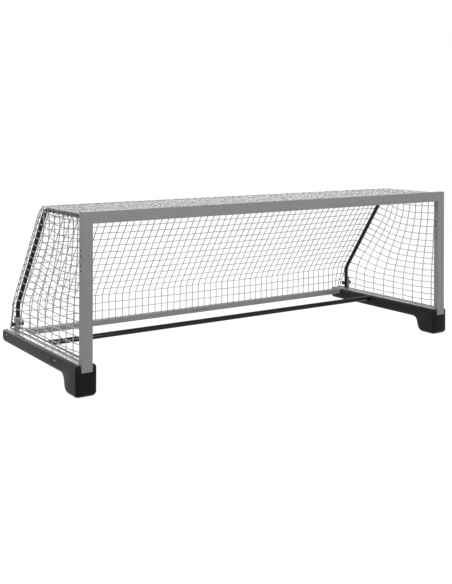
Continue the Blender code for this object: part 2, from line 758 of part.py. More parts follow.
def arm_path(start, end):
    """The middle of the arm, in depth and height: back from the post, slanting down, then upright."""
    corners = [
        (start, ARM_TOP, 0, 0),
        (ARM_BEND, ARM_TOP, UPPER_BEND_RADIUS, WIDE_ARC),
        (ARM_FOOT, DECK + ARM_LOW_BEND, LOWER_BEND_RADIUS, WIDE_ARC),
        (ARM_FOOT, end, 0, 0),
    ]
    return [at(ARM_X, depth, height) for depth, height in rounded(corners)]


def make_arms(look):
    start, end = BAR_DEPTH + SOCKET_PLATE[1] + 2 * CLEAR, DECK + ARM_END
    obj = tube("net_arm", arm_path(start, end), ARM_RADIUS)
    combined(obj, tube("bore", arm_path(start - TUBE_WALL, end - TUBE_WALL), ARM_BORE))
    drill(obj, at(ARM_X, ARM_FOOT, CLAMP), X_AXIS, 2 * ARM_RADIUS, CLAMP_BOLT_RADIUS + RUN)
    return both_sides("net_arm", obj, look)


def make_arm_sockets(look):
    """A plate on the back of each post, with a spigot in the end of the arm."""
    wide, thick, high = SOCKET_PLATE
    back = BAR_DEPTH + CLEAR
    low = at(POST_X - wide / 2, back, ARM_TOP - high / 2)
    obj = box("arm_socket", low, at(POST_X + wide / 2, back + thick, ARM_TOP + high / 2))
    start = at(ARM_X, back + thick / 2, ARM_TOP)
    combined(obj, rod("spigot", start, start + Y_AXIS * SPIGOT_LENGTH, ARM_BORE - CLEAR), "UNION")
    for x in (-1, 1):
        for z in (-1, 1):
            seat = at(POST_X + x * SOCKET_SCREW[0], back + thick, ARM_TOP + z * SOCKET_SCREW[1])
            head = screw_head("head", seat, Y_AXIS, SOCKET_SCREW_RADIUS, SCREW_HEAD_HEIGHT)
            combined(obj, head, "UNION")
    return both_sides("arm_socket", obj, look)


def make_arm_plugs(look):
    profile = [
        (0, PLUG_LENGTH), (ARM_BORE - CLEAR, PLUG_LENGTH), (ARM_BORE - CLEAR, -CLEAR),
        (ARM_RADIUS, -CLEAR), (ARM_RADIUS, -PLUG_RIM), (0, -PLUG_RIM),
    ]
    obj = turned("arm_plug", profile)
    placed(obj, at(ARM_X, ARM_FOOT, DECK + ARM_END), X_AXIS, Y_AXIS)
    return both_sides("arm_plug", obj, look)


# Brackets and clamps


def make_brackets(look):
    """A channel on the rail, open to the inside of the goal, which the foot of the arm stands in."""
    web, edge, half = BRACKET_WEB, -BRACKET_OPEN_EDGE, BRACKET_LENGTH / 2
    inner, between = web - BRACKET_WEB_WALL, half - BRACKET_FLANGE_WALL
    outline = [
        (edge, -half, 0, 0), (web, -half, BRACKET_CORNER, ARC), (web, half, BRACKET_CORNER, ARC),
        (edge, half, 0, 0), (edge, between, 0, 0), (inner, between, 0, 0),
        (inner, -between, 0, 0), (edge, -between, 0, 0),
    ]
    obj = plate("bracket", [rounded(outline)], CLEAR, BRACKET_HEIGHT)
    floor, lap = BRACKET_FLANGE_WALL, CLEAR
    foot = box("foot", (edge, -between - lap, CLEAR), (inner + lap, between + lap, floor))
    combined(obj, foot, "UNION")
    placed(obj, at(ARM_X, ARM_FOOT, DECK), X_AXIS, Y_AXIS)
    seat = at(ARM_X + inner / 2, ARM_FOOT, DECK + floor)
    combined(obj, screw_head("head", seat, Z_AXIS, RAIL_SCREW_RADIUS, RAIL_SCREW_HEIGHT), "UNION")
    drill(obj, at(ARM_X + web, ARM_FOOT, CLAMP), X_AXIS, 2 * BRACKET_WEB_WALL, CLAMP_BOLT_RADIUS + RUN)
    return both_sides("bracket", obj, look)


def make_saddles(look):
    """A spacer that fills the space between the round arm and the flat web."""
    half, web = SADDLE_WIDTH / 2, ARM_X + BRACKET_WEB - BRACKET_WEB_WALL - CLEAR
    start = ARM_X + ARM_RADIUS - SADDLE_OVERLAP
    low = at(start, ARM_FOOT - half, CLAMP - half)
    obj = box("tube_saddle", low, at(web, ARM_FOOT + half, CLAMP + half))
    middle, reach = at(ARM_X, ARM_FOOT, CLAMP), Z_AXIS * SADDLE_WIDTH
    combined(obj, rod("tube", middle - reach, middle + reach, ARM_RADIUS + CLEAR, 2 * ROUND))
    drill(obj, middle, X_AXIS, 2 * BRACKET_WEB, CLAMP_BOLT_RADIUS + RUN)
    return both_sides("tube_saddle", obj, look)


def knob_seats():
    """Where the hubs of the inner and the outer knob bear, from the middle of the arm."""
    return -ARM_RADIUS - CLEAR, BRACKET_WEB + CLEAR


def knob_outline():
    """Five soft lobes."""
    count = LOBE_STEPS * KNOB_LOBES
    turns = [step * 2 * math.pi / count for step in range(count)]
    radii = [KNOB_RADIUS + KNOB_LOBE * math.cos(KNOB_LOBES * turn) for turn in turns]
    return [(radius * math.cos(turn), radius * math.sin(turn)) for radius, turn in zip(radii, turns)]


def make_knobs(look):
    """Two knobs for each clamp bolt: its head outside, and its nut inside."""
    made = []
    for word, x, outwards, bore, gap in (
        ("inner", knob_seats()[0], -1, KNOB_LENGTH, RUN), ("outer", knob_seats()[1], 1, KNOB_SOCKET, CLEAR)
    ):
        obj = plate("knob", [knob_outline()], KNOB_HUB_LENGTH, KNOB_LENGTH)
        edges = obj.modifiers.new("Edges", "BEVEL")
        edges.width = KNOB_EDGE
        edges.segments = 2
        edges.limit_method = "ANGLE"
        edges.angle_limit = SHARP_EDGE
        bake(obj)
        radius, inside = KNOB_HUB_RADIUS, 2 * KNOB_HUB_LENGTH
        combined(obj, turned("hub", [(0, inside), (radius, inside), (radius, 0), (0, 0)]), "UNION")
        end = bore + KNOB_EDGE if bore == KNOB_LENGTH else bore
        combined(obj, rod("bore", -Z_AXIS * KNOB_EDGE, Z_AXIS * end, CLAMP_BOLT_RADIUS + gap))
        axes = (Y_AXIS, outwards * Z_AXIS)
        placed(obj, at(ARM_X + x, ARM_FOOT, CLAMP), *axes)
        obj.name = "knob_" + word + "_right"
        made += [finished(obj, look), finished(mirrored(obj, "knob_" + word + "_left"), look)]
    return made


def make_clamp_bolts(look):
    """Held in the outer knob, through the web, the saddle and the arm, into the inner knob."""
    inner, outer = knob_seats()
    end, start = outer + KNOB_SOCKET - CLEAR, inner - KNOB_NUT
    radius, tip = CLAMP_BOLT_RADIUS, CLAMP_BOLT_TIP
    profile = [
        (0, end), (tip, end), (radius, end - radius + tip),
        (radius, start + radius - tip), (tip, start), (0, start),
    ]
    obj = turned("clamp_bolt", profile)
    placed(obj, at(ARM_X, ARM_FOOT, CLAMP), Y_AXIS, Z_AXIS)
    obj.name = "clamp_bolt_right"
    return [finished(obj, look), finished(mirrored(obj, "clamp_bolt_left"), look)]


# Net


def net_panel(name, columns, rows, place, look):
    """A panel of square mesh. place(s, t) is where a share s of its width and t of its height lies."""
    shape = bmesh.new()
    bmesh.ops.create_grid(shape, x_segments=columns, y_segments=rows, size=0.5)
    for vertex in shape.verts:
        vertex.co = place(vertex.co.x + 0.5, vertex.co.y + 0.5)
    obj = from_bmesh(name, shape)
    strands = obj.modifiers.new("Strands", "WIREFRAME")
    strands.thickness = NET_STRAND
    strands.offset = 0
    strands.use_boundary = True
    strands.use_even_offset = True
    return finished(settled(bake(obj)), look)


def mixed(low, high, share):
    return low + (high - low) * share


def arm_slope():
    """Depth gained for each metre that the slanting run of the arm comes down."""
    return (ARM_FOOT - ARM_BEND) / (ARM_TOP - DECK - ARM_LOW_BEND)


def slant(height, offset):
    """Depth of a line beside the slanting run, this far behind its middle."""
    return ARM_BEND + (ARM_TOP - height) * arm_slope() + offset * math.hypot(1, arm_slope())


def fold_setback(turn):
    """From a fold between two panels to the middle of each one's border strand."""
    return NET_STRAND / 2 * (1 + math.tan(turn / 2)) + CLEAR


def make_top_and_back_nets(look):
    """The top lies on the arms, and the back falls behind them to the rear bar."""
    seat = ARM_RADIUS + CLEAR + NET_STRAND / 2
    wide = ARM_X + ARM_RADIUS - NET_STRAND / 2
    level, front = ARM_TOP + seat, BAR_DEPTH + CLEAR + NET_STRAND / 2
    upper = Vector((slant(level, seat), level))
    back = ARM_FOOT + BRACKET_LENGTH / 2 + CLEAR + NET_STRAND / 2
    lower = Vector((back, level - (back - upper.x) / arm_slope()))
    slope = (lower - upper).normalized()
    lean = math.atan2(lower.x - upper.x, upper.y - lower.y)
    rear = upper.x - fold_setback(math.pi / 2 - lean)
    high, low = upper + slope * fold_setback(math.pi / 2 - lean), lower - slope * fold_setback(lean)
    fall, foot = lower.y - fold_setback(lean), DECK + CLEAR + NET_STRAND / 2
    made = [
        net_panel(
            "net_top", NET_COLUMNS, TOP_ROWS,
            lambda s, t: at(mixed(-wide, wide, s), mixed(front, rear, t), level), look,
        ),
        net_panel(
            "net_back_upper", NET_COLUMNS, BACK_ROWS,
            lambda s, t: at(mixed(-wide, wide, s), mixed(low.x, high.x, t), mixed(low.y, high.y, t)), look,
        ),
        net_panel(
            "net_back_lower", NET_COLUMNS, 1,
            lambda s, t: at(mixed(-wide, wide, s), back, mixed(foot, fall, t)), look,
        ),
    ]
    return made


def make_side_nets(look):
    """Each side is laced into the tracks of the post and the rail, and reaches back to the arm."""
    half = NET_STRAND / 2
    front = TRACK_FLOOR + CLEAR + half
    bottom, top = RAIL_BASE + TRACK_FLOOR + CLEAR + half, ARM_TOP - ARM_RADIUS - CLEAR - half
    last = ARM_FOOT - BRACKET_LENGTH / 2 - CLEAR - half
    lean = math.atan(arm_slope())
    bend = ARM_BEND - UPPER_BEND_RADIUS * math.tan((math.pi / 2 - lean) / 2)

    def place(s, t):
        height = mixed(bottom, top, t)
        edge = min(slant(height, -ARM_RADIUS - CLEAR - half), last)
        edge = bend if t > 1 - 0.5 / SIDE_ROWS else edge
        return at(POST_X, mixed(front, edge, s), height)

    right = net_panel("net_side_right", SIDE_COLUMNS, SIDE_ROWS, place, look)
    return [right, finished(mirrored(right, "net_side_left"), look)]


def make_hem_cords(look):
    """The cords of the net's hem, which lie in the tracks."""
    radius, stop = HEM_CORD_RADIUS, HEM_CORD_STOP
    beside = NET_STRAND / 2 + CLEAR + radius
    floor = TRACK_FLOOR + CLEAR + radius
    end, height = HALF_MOUTH - stop, MOUTH_HEIGHT + BAR_FACE / 2
    cord = rod("hem_cord_crossbar", at(-end, floor, height), at(end, floor, height), radius, SMALL_ROUND)
    made = [finished(settled(cord), look)]
    x = POST_X + beside
    low, high = at(x, floor, DECK + stop), at(x, floor, MOUTH_HEIGHT - stop)
    made += both_sides("hem_cord_post", rod("hem_cord_post", low, high, radius, SMALL_ROUND), look)
    level, last = RAIL_BASE + floor, ARM_FOOT - BRACKET_LENGTH / 2 - stop
    front, rear = at(x, BAR_DEPTH + stop, level), at(x, last, level)
    return made + both_sides("hem_cord_rail", rod("hem_cord_rail", front, rear, radius, SMALL_ROUND), look)


def main():
    for obj in list(bpy.data.objects):
        bpy.data.objects.remove(obj)
    grey_coat = material("grey_powder_coat", (0.22, 0.22, 0.22), 0.45)
    aluminium = material("bright_aluminium", (0.80, 0.81, 0.82), 0.35, 1.0)
    black_tube = material("black_gloss_coat", (0.015, 0.015, 0.016), 0.25)
    shell = material("dark_polyethylene", (0.05, 0.05, 0.055), 0.5)
    foam = material("closed_cell_foam", (0.75, 0.73, 0.66), 0.9)
    steel = material("stainless_steel", (0.62, 0.62, 0.63), 0.35, 1.0)
    knob = material("black_knob_plastic", (0.02, 0.02, 0.02), 0.4)
    cord = material("white_net_cord", (0.85, 0.85, 0.83), 0.8)
    makers = [
        (make_crossbar, grey_coat), (make_posts, grey_coat), (make_post_sleeves, steel),
        (make_corner_blocks, aluminium), (make_side_rails, aluminium), (make_rail_caps, knob),
        (make_float_shells, shell), (make_foam_cores, foam), (make_float_bolts, steel),
        (make_rear_bar, aluminium), (make_rear_bar_sleeve, steel), (make_rear_bar_inserts, aluminium),
        (make_lower_tube, black_tube), (make_lower_tube_inserts, knob), (make_arms, black_tube),
        (make_arm_sockets, aluminium), (make_arm_plugs, knob), (make_brackets, aluminium),
        (make_saddles, knob), (make_knobs, knob), (make_clamp_bolts, steel),
        (make_top_and_back_nets, cord), (make_side_nets, cord), (make_hem_cords, cord),
    ]
    pieces = [piece for make, look in makers for piece in make(look)]
    collection = bpy.data.collections.new("water_polo_goal")
    bpy.context.scene.collection.children.link(collection)
    goal = bpy.data.objects.new("goal", None)
    collection.objects.link(goal)
    for piece in pieces:
        bpy.context.scene.collection.objects.unlink(piece)
        collection.objects.link(piece)
        piece.parent = goal


if __name__ == "__main__":
    main()
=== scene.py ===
"""Finishes, netting and small parts of a floating water polo goal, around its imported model.

Metres, +Z up, +Y towards the back of the goal, +X to a player's right.
Depths are counted back from the front faces of the posts, heights up from the water line.
"""

import math
import random
from functools import partial

import bmesh
import bpy
from bpy.props import FloatProperty, FloatVectorProperty, IntProperty, PointerProperty
from mathutils import Matrix, Vector


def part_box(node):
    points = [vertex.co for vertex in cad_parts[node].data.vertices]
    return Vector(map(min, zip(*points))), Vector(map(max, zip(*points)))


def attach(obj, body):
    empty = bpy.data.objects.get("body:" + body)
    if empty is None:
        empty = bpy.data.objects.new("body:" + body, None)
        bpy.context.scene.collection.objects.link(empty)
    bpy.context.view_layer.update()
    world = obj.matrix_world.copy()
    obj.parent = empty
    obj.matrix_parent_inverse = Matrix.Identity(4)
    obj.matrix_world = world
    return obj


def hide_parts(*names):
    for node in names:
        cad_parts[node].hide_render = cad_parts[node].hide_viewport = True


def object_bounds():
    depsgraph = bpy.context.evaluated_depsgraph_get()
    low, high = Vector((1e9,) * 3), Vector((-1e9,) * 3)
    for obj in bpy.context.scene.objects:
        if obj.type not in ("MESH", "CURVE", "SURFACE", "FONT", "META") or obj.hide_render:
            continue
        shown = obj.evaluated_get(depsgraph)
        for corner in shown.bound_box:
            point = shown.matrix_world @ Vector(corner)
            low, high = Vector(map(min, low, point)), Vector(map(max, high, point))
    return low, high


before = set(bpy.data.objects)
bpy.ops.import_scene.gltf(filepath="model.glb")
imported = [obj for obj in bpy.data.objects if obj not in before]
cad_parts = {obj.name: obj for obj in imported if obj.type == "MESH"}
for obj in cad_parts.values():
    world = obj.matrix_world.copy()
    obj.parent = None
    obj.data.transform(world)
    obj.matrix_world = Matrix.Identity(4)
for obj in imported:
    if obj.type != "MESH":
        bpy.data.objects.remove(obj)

bl_info = {
    "name": "Water polo goal",
    "version": (1, 1, 0),
    "blender": (4, 5, 0),
    "location": "View3D > Sidebar > Goal",
    "description": "Finishes, netting and small parts of a floating water polo goal",
    "category": "Object",
}

CAD_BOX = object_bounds()
X_AXIS, Y_AXIS, Z_AXIS = Vector((1, 0, 0)), Vector((0, 1, 0)), Vector((0, 0, 1))
BOTH = (("left", -1), ("right", 1))


def middle(name):
    low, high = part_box(name)
    return (low + high) / 2


# Places that the model gives
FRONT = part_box("crossbar")[0].y
BAR_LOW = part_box("crossbar")[0].z
WATER = BAR_LOW - 0.900
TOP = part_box("crossbar")[1].z - WATER
BAR_TRACK = middle("crossbar").z - WATER  # height of the track in the crossbar's back
BAR_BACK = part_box("crossbar")[1].y - FRONT
POST_X = middle("post_upper_right").x
HALF_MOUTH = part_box("post_upper_right")[0].x
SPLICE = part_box("post_lower_right")[1].z - WATER
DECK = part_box("rear_bar_right")[1].z - WATER
BAR_MIDDLE = middle("rear_bar_right").z - WATER
FLOAT_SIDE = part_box("float_shell_right")[1].x
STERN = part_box("float_shell_right")[1].y - FRONT
REAR_BAR_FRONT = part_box("rear_bar_right")[0].y - FRONT
REAR_BAR_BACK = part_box("rear_bar_right")[1].y - FRONT
REAR_SPLICE_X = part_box("rear_bar_right")[0].x
TUBE_DEPTH = middle("lower_tube").y - FRONT
ARM_X = middle("net_arm_right").x
ARM_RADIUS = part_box("net_arm_right")[1].x - ARM_X
ARM_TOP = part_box("net_arm_right")[1].z - WATER - ARM_RADIUS
ARM_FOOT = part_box("net_arm_right")[1].y - FRONT - ARM_RADIUS
BRACKET_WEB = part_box("bracket_right")[1].x
CLAMP_HEIGHT = middle("clamp_bolt_right").z - WATER
FLOAT_BOLTS = [middle(f"float_bolt_{word}_right") - Vector((0, FRONT, WATER)) for word in ("front", "rear")]
ARM_SLANT_START = 0.632  # depth of the upper bend's corner
ARM_SLANT = 0.6923  # depth gained for each metre that the arm comes down

SPLICE_SCREWS = (-0.061, -0.030, 0.030, 0.061)  # from a joint to its screws
SCREW_DEPTH = 0.0185  # of the posts' screws


def at(x, depth, height):
    """A point of the goal, in world coordinates."""
    return Vector((x, FRONT + depth, WATER + height))


def mixed(low, high, share):
    return low + (high - low) * share


def eased(value, start, end):
    """0 up to the start and 1 from the end on, with soft ends; the end may lie below the start."""
    share = min(max((value - start) / (end - start), 0.0), 1.0)
    return share * share * (3 - 2 * share)


def turns(steps):
    """The angles of even steps round a circle."""
    return [math.tau * i / steps for i in range(steps)]


def mirrored(place, sign):
    """The place, or where the sign is -1 its twin at the left."""
    return Vector((sign * place.x, place.y, place.z))


def linear(code):
    """The linear colour of an sRGB hex value such as "8C8F91"."""
    shares = [int(code[i:i + 2], 16) / 255 for i in (0, 2, 4)]
    return tuple(s / 12.92 if s <= 0.04045 else ((s + 0.055) / 1.055) ** 2.4 for s in shares)


def colour(name, description, code):
    return FloatVectorProperty(
        name=name, description=description, subtype="COLOR", size=3, min=0, max=1, default=linear(code)
    )


def length(name, description, value):
    return FloatProperty(name=name, description=description, default=value, min=0, unit="LENGTH", precision=4)


def power(name, description, value):
    return FloatProperty(name=name, description=description, default=value, min=0, unit="POWER")


class GoalFinishes(bpy.types.PropertyGroup):
    coat: colour(
        "Frame coat", "Satin coat of the posts, the crossbar, the rear bar and the brackets", "727374"
    )
    aluminium: colour("Aluminium", "Bare anodised faces of the rails and sockets", "E3E4E4")
    tube: colour("Tube coat", "Gloss coat of the arms and the lower tube", "080809")
    shell: colour("Floats", "Moulded polyethylene of the floats", "101011")
    plastic: colour("Black plastic", "Knobs, plugs and caps", "0A0A0B")
    steel: colour("Steel", "Bolts and sleeves", "B4B5B6")
    screws: colour("Screws", "Blackened screws", "1A1A1B")
    cord: colour("Net cord", "Twisted cord of the net", "B8B8B6")
    rope: colour("Track rope", "Flat rope that fills the tracks", "A8A8A5")


class GoalNet(bpy.types.PropertyGroup):
    strand: length("Strand", "Diameter of the net's cord", 0.0066)
    knot: length("Knot", "Diameter of the net's knots", 0.0088)
    wander: length("Wander", "How far a knot strays from its place", 0.0014)
    hem: length("Hem", "Diameter of the cord in the net's edges", 0.0046)
    rope_strand: length("Rope strand", "Diameter of the rope's three strands", 0.0084)
    rope_lay: length("Rope lay", "Length in which a strand goes once round the rope", 0.100)
    seed: IntProperty(name="Seed", description="Of the knots' small strays", default=4, min=0)


class GoalStage(bpy.types.PropertyGroup):
    floor: colour("Floor", "Pale floor", "B9B9B9")
    world: FloatProperty(
        name="World", description="Strength of the surroundings as a light", default=0.31, min=0
    )
    key: power("Key lamp", "Large soft lamp in front", 580)
    top: power("Top lamp", "Soft lamp overhead", 280)
    rim: power("Rim lamp", "Long soft lamp behind", 330)
    side: power("Side lamp", "Weak lamp at the left", 24)


# Building materials


def wired(made, inputs):
    """Sets a node's inputs: each is a value, or another node or its socket to link."""
    for name, value in inputs.items():
        if isinstance(value, bpy.types.Node):
            value = value.outputs[0]
        if isinstance(value, bpy.types.NodeSocket):
            made.id_data.links.new(value, made.inputs[name])
        else:
            made.inputs[name].default_value = value
    return made


def node(tree, kind, inputs=None, **settings):
    """Adds a node with its settings and its inputs."""
    made = tree.nodes.new(kind)
    for name, value in settings.items():
        setattr(made, name, value)
    return wired(made, inputs or {})


def new_material(name):
    """A material, what adds nodes to it, and the place of each point of its object."""
    made = bpy.data.materials.new(name)
    made.use_nodes = True
    add = partial(node, made.node_tree)
    return made, add, add("ShaderNodeTexCoord").outputs["Object"]


def shader_of(made):
    return made.node_tree.nodes["Principled BSDF"]


def tone(base, share=1.0):
    return (*(min(channel * share, 1.0) for channel in base), 1.0)


# Nearly all values of a noise lie between these
NOISE = {"From Min": 0.3, "From Max": 0.7}


def mm(size):
    """The scale of a pattern whose grains are this many millimetres wide.

    From the stage's camera a pixel is about 9 mm wide, so clouds and scuffs show, and the finer grains,
    which keep their real size, only break up the gloss until one looks closer.
    """
    return 1000 / size


def surfaced(made, skin, rough, relief=None, others=None, span=NOISE):
    """The material with its skin, and with a roughness and a relief that each follow a pattern.

    The roughness goes from one value to the other within the span of its pattern.
    """
    add, (pattern, first, last) = partial(node, made.node_tree), rough
    roughness = add("ShaderNodeMapRange", {"Value": pattern, **span, "To Min": first, "To Max": last})
    inputs = {"Base Color": skin.outputs[2], "Roughness": roughness, **(others or {})}
    if relief:
        inputs["Normal"] = add("ShaderNodeBump", {"Height": relief[0], "Distance": relief[1]})
    wired(shader_of(made), inputs)
    return made


def powder_coat(base):
    """Polyester powder coat, sprayed and baked on aluminium: satin, a faint orange peel, cloudy gloss."""
    made, add, here = new_material("satin_powder_coat")
    cloud = add("ShaderNodeTexNoise", {"Vector": here, "Scale": mm(91), "Detail": 3.0})
    gloss = add("ShaderNodeTexNoise", {"Vector": here, "Scale": mm(20), "Detail": 3.0})
    peel = add("ShaderNodeTexNoise", {"Vector": here, "Scale": mm(2.2)})
    dust = add("ShaderNodeTexNoise", {"Vector": here, "Scale": mm(5.26), "Detail": 6.0, "Roughness": 0.7})
    specks = add("ShaderNodeMapRange", {"Value": dust, "From Min": 0.62, "From Max": 0.74, "To Max": 0.35})
    coat = add("ShaderNodeMix", {0: cloud, 6: tone(base, 0.94), 7: tone(base, 1.06)}, data_type="RGBA")
    dusty = add("ShaderNodeMix", {0: specks, 6: coat.outputs[2], 7: tone(base, 1.5)}, data_type="RGBA")
    return surfaced(made, dusty, (gloss, 0.40, 0.52), (peel, 0.00004), {"IOR": 1.5})


def highlit_section(coat, metal):
    """Rail section: the same satin coat, with faces that look up made partly bright bare metal, a painted
    highlight.

    Extruding leaves fine die lines along the rail, which is Y here.
    """
    made, add, here = new_material("rubbed_aluminium_section")
    along = add("ShaderNodeMapping", {"Vector": here, "Scale": (1.0, 0.01, 1.0)})
    lines = add("ShaderNodeTexNoise", {"Vector": along, "Scale": mm(1.25)})
    cloud = add("ShaderNodeTexNoise", {"Vector": here, "Scale": mm(55.5), "Detail": 4.0})
    up = add("ShaderNodeSeparateXYZ", {0: add("ShaderNodeNewGeometry").outputs["Normal"]})
    # Painted highlight: faces that look up turn partly to bright metal, by their normal alone, a little more
    # or less in patches
    upper = add("ShaderNodeMapRange", {"Value": up.outputs["Z"], "From Min": 0.55, "From Max": 0.95})
    patches = add("ShaderNodeMapRange", {"Value": cloud, **NOISE, "To Min": 0.35, "To Max": 0.45})
    highlight_share = add("ShaderNodeMath", {0: upper, 1: patches}, operation="MULTIPLY")
    shine = add("ShaderNodeMix", {0: cloud, 6: tone(metal, 0.9), 7: tone(metal)}, data_type="RGBA")
    skin = add("ShaderNodeMix", {0: highlight_share, 6: tone(coat), 7: shine.outputs[2]}, data_type="RGBA")
    return surfaced(made, skin, (lines, 0.28, 0.44), (lines, 0.00002), {"Metallic": highlight_share})


def anodised(base):
    """Cast and anodised aluminium of the sockets and inserts: blasted, so a fine matt grain."""
    made, add, here = new_material("blasted_anodised_aluminium")
    grain = add("ShaderNodeTexNoise", {"Vector": here, "Scale": mm(0.625)})
    cloud = add("ShaderNodeTexNoise", {"Vector": here, "Scale": mm(25), "Detail": 3.0})
    metal = add("ShaderNodeMix", {0: cloud, 6: tone(base, 0.7), 7: tone(base, 0.9)}, data_type="RGBA")
    return surfaced(made, metal, (grain, 0.34, 0.50), (grain, 0.00003), {"Metallic": 1.0})


def gloss_tube(base):
    """Black gloss coat on bent tube: smooth and deep, with dull rubs where cords have chafed it."""
    made, add, here = new_material("gloss_tube_coat")
    chafe = add("ShaderNodeTexNoise", {"Vector": here, "Scale": mm(12.5), "Detail": 4.0})
    wave = add("ShaderNodeTexNoise", {"Vector": here, "Scale": mm(4)})
    rubs = add("ShaderNodeMapRange", {"Value": chafe, "From Min": 0.5, "From Max": 0.72})
    coat = add("ShaderNodeMix", {0: rubs, 6: tone(base), 7: tone(base, 2.2)}, data_type="RGBA")
    return surfaced(made, coat, (rubs, 0.08, 0.26), (wave, 0.00001), {"Specular IOR Level": 0.24}, span={})


def polyethylene(base):
    """Rotationally moulded polyethylene: a dull, waxy, finely pebbled skin with paler scuffs."""
    made, add, here = new_material("moulded_polyethylene")
    along = add("ShaderNodeMapping", {"Vector": here, "Scale": (1.0, 0.35, 1.0)})
    worn = add("ShaderNodeTexNoise", {"Vector": along, "Scale": mm(50), "Detail": 6.0})
    gloss = add("ShaderNodeTexNoise", {"Vector": here, "Scale": mm(6.25), "Detail": 3.0})
    pebble = add("ShaderNodeTexNoise", {"Vector": here, "Scale": mm(2.63), "Detail": 3.0})
    scuffs = add("ShaderNodeMapRange", {"Value": worn, "From Min": 0.48, "From Max": 0.78})
    skin = add("ShaderNodeMix", {0: scuffs, 6: tone(base), 7: tone(base, 1.7)}, data_type="RGBA")
    wax = {"Specular IOR Level": 0.07, "Sheen Weight": 0.24, "Sheen Roughness": 0.4}
    return surfaced(made, skin, (gloss, 0.40, 0.54), (pebble, 0.00010), wax)


def knob_plastic(base):
    """Glass-filled nylon, moulded: black, with a spark-eroded grain."""
    made, add, here = new_material("glass_filled_nylon")
    grain = add("ShaderNodeTexNoise", {"Vector": here, "Scale": mm(1.11)})
    cloud = add("ShaderNodeTexNoise", {"Vector": here, "Scale": mm(10), "Detail": 3.0})
    skin = add("ShaderNodeMix", {0: cloud, 6: tone(base), 7: tone(base, 1.5)}, data_type="RGBA")
    return surfaced(made, skin, (grain, 0.36, 0.50), (grain, 0.00005), {"Specular IOR Level": 0.15})


def stainless(base):
    """Stainless steel bolts: turned and tumbled, so bright, with a few grey stains."""
    made, add, here = new_material("stainless_steel")
    stain = add("ShaderNodeTexNoise", {"Vector": here, "Scale": mm(4), "Detail": 3.0})
    metal = add("ShaderNodeMix", {0: stain, 6: tone(base, 0.7), 7: tone(base)}, data_type="RGBA")
    return surfaced(made, metal, (stain, 0.40, 0.24), others={"Metallic": 1.0})


def blackened_steel(base):
    """Oxide-blackened steel screws: nearly black, oily, paler where a key has worn them."""
    made, add, here = new_material("blackened_steel")
    worn = add("ShaderNodeTexNoise", {"Vector": here, "Scale": mm(2), "Detail": 3.0})
    rubs = add("ShaderNodeMapRange", {"Value": worn, "From Min": 0.5, "From Max": 0.75})
    skin = add("ShaderNodeMix", {0: rubs, 6: tone(base), 7: tone(base, 3.0)}, data_type="RGBA")
    return surfaced(made, skin, (rubs, 0.45, 0.30), others={"Specular IOR Level": 0.3}, span={})


def closed_cell_foam():
    """Closed cell foam, sawn to shape, so its fine cells are cut open."""
    made, add, here = new_material("closed_cell_foam")
    pale, dark = tone(linear("DCD8CC")), tone(linear("B4AFA2"))
    cells = add("ShaderNodeTexVoronoi", {"Vector": here, "Scale": mm(2.5)})
    foam = add("ShaderNodeMix", {0: cells, 6: pale, 7: dark}, data_type="RGBA")
    relief = add("ShaderNodeBump", {"Height": cells, "Distance": 0.0004})
    wired(shader_of(made), {"Base Color": foam.outputs[2], "Normal": relief, "Roughness": 0.9})
    return made


def twisted_cord(name, lay, base):
    """Polyester cord laid from three yarns, whose ridges go once round in each lay; soft, with a faint fuzz.

    The mesh keeps, for each point, its direction from the cord's middle and its distance along the cord.
    """
    made, add, here = new_material(name)
    kept = add("ShaderNodeAttribute", attribute_name="lay")
    part = add("ShaderNodeSeparateXYZ", {0: kept.outputs["Vector"]}).outputs
    around = add("ShaderNodeMath", {0: part["Y"], 1: part["X"]}, operation="ARCTAN2")
    yarns = add("ShaderNodeMath", {0: around, 1: 3.0}, operation="MULTIPLY")
    turned = add("ShaderNodeMath", {0: part["Z"], 1: 3 * math.tau / lay, 2: yarns}, operation="MULTIPLY_ADD")
    ridge = add("ShaderNodeMath", {0: turned}, operation="SINE")
    # Painted shade: the colour darkens to about half in the grooves between the yarns and is a little lighter
    # on the ridges; the fuzz adds real dirt
    groove_shade = add("ShaderNodeMapRange", {"Value": ridge, "From Min": 0.1, "From Max": -1.0})
    fuzz = add("ShaderNodeTexNoise", {"Vector": here, "Scale": mm(1.11), "Detail": 3.0})
    dirt = add("ShaderNodeMapRange", {"Value": fuzz, "From Min": 0.35, "From Max": 0.75, "To Max": 0.35})
    groove_shade_and_dirt = add("ShaderNodeMath", {0: groove_shade, 1: dirt}, operation="MAXIMUM")
    yarn = add("ShaderNodeMix", {0: groove_shade_and_dirt, 6: tone(base, 1.08), 7: tone(base, 0.55)}, data_type="RGBA")
    relief = add("ShaderNodeBump", {"Height": ridge, "Distance": 0.0004})
    wired(shader_of(made), {
        "Base Color": yarn.outputs[2], "Normal": relief, "Roughness": 0.8, "Specular IOR Level": 0.3,
        "Sheen Weight": 0.1,
    })
    return made


FINISHES = {  # each with the colours that it takes
    "coat": (powder_coat, "coat"), "section": (highlit_section, "coat", "aluminium"),
    "aluminium": (anodised, "aluminium"), "tube": (gloss_tube, "tube"), "shell": (polyethylene, "shell"),
    "plastic": (knob_plastic, "plastic"), "steel": (stainless, "steel"),
    "screws": (blackened_steel, "screws"), "foam": (closed_cell_foam,),
    "cord": (lambda base: twisted_cord("net_cord", 0.012, base), "cord"),
    "hem": (lambda base: twisted_cord("hem_cord", 0.014, base), "cord"),
    "rope": (lambda base: twisted_cord("rope_strand", 0.020, base), "rope"),
}
MADE = {}


def finish_of(name):
    """The finish of this name, made once."""
    if name not in MADE:
        build, *names = FINISHES[name]
        chosen = bpy.context.scene.goal_finishes
        MADE[name] = build(*(getattr(chosen, each) for each in names))
    return MADE[name]


# Building pieces


def linked(name, data):
    obj = bpy.data.objects.new(name, data)
    bpy.context.scene.collection.objects.link(obj)
    return obj


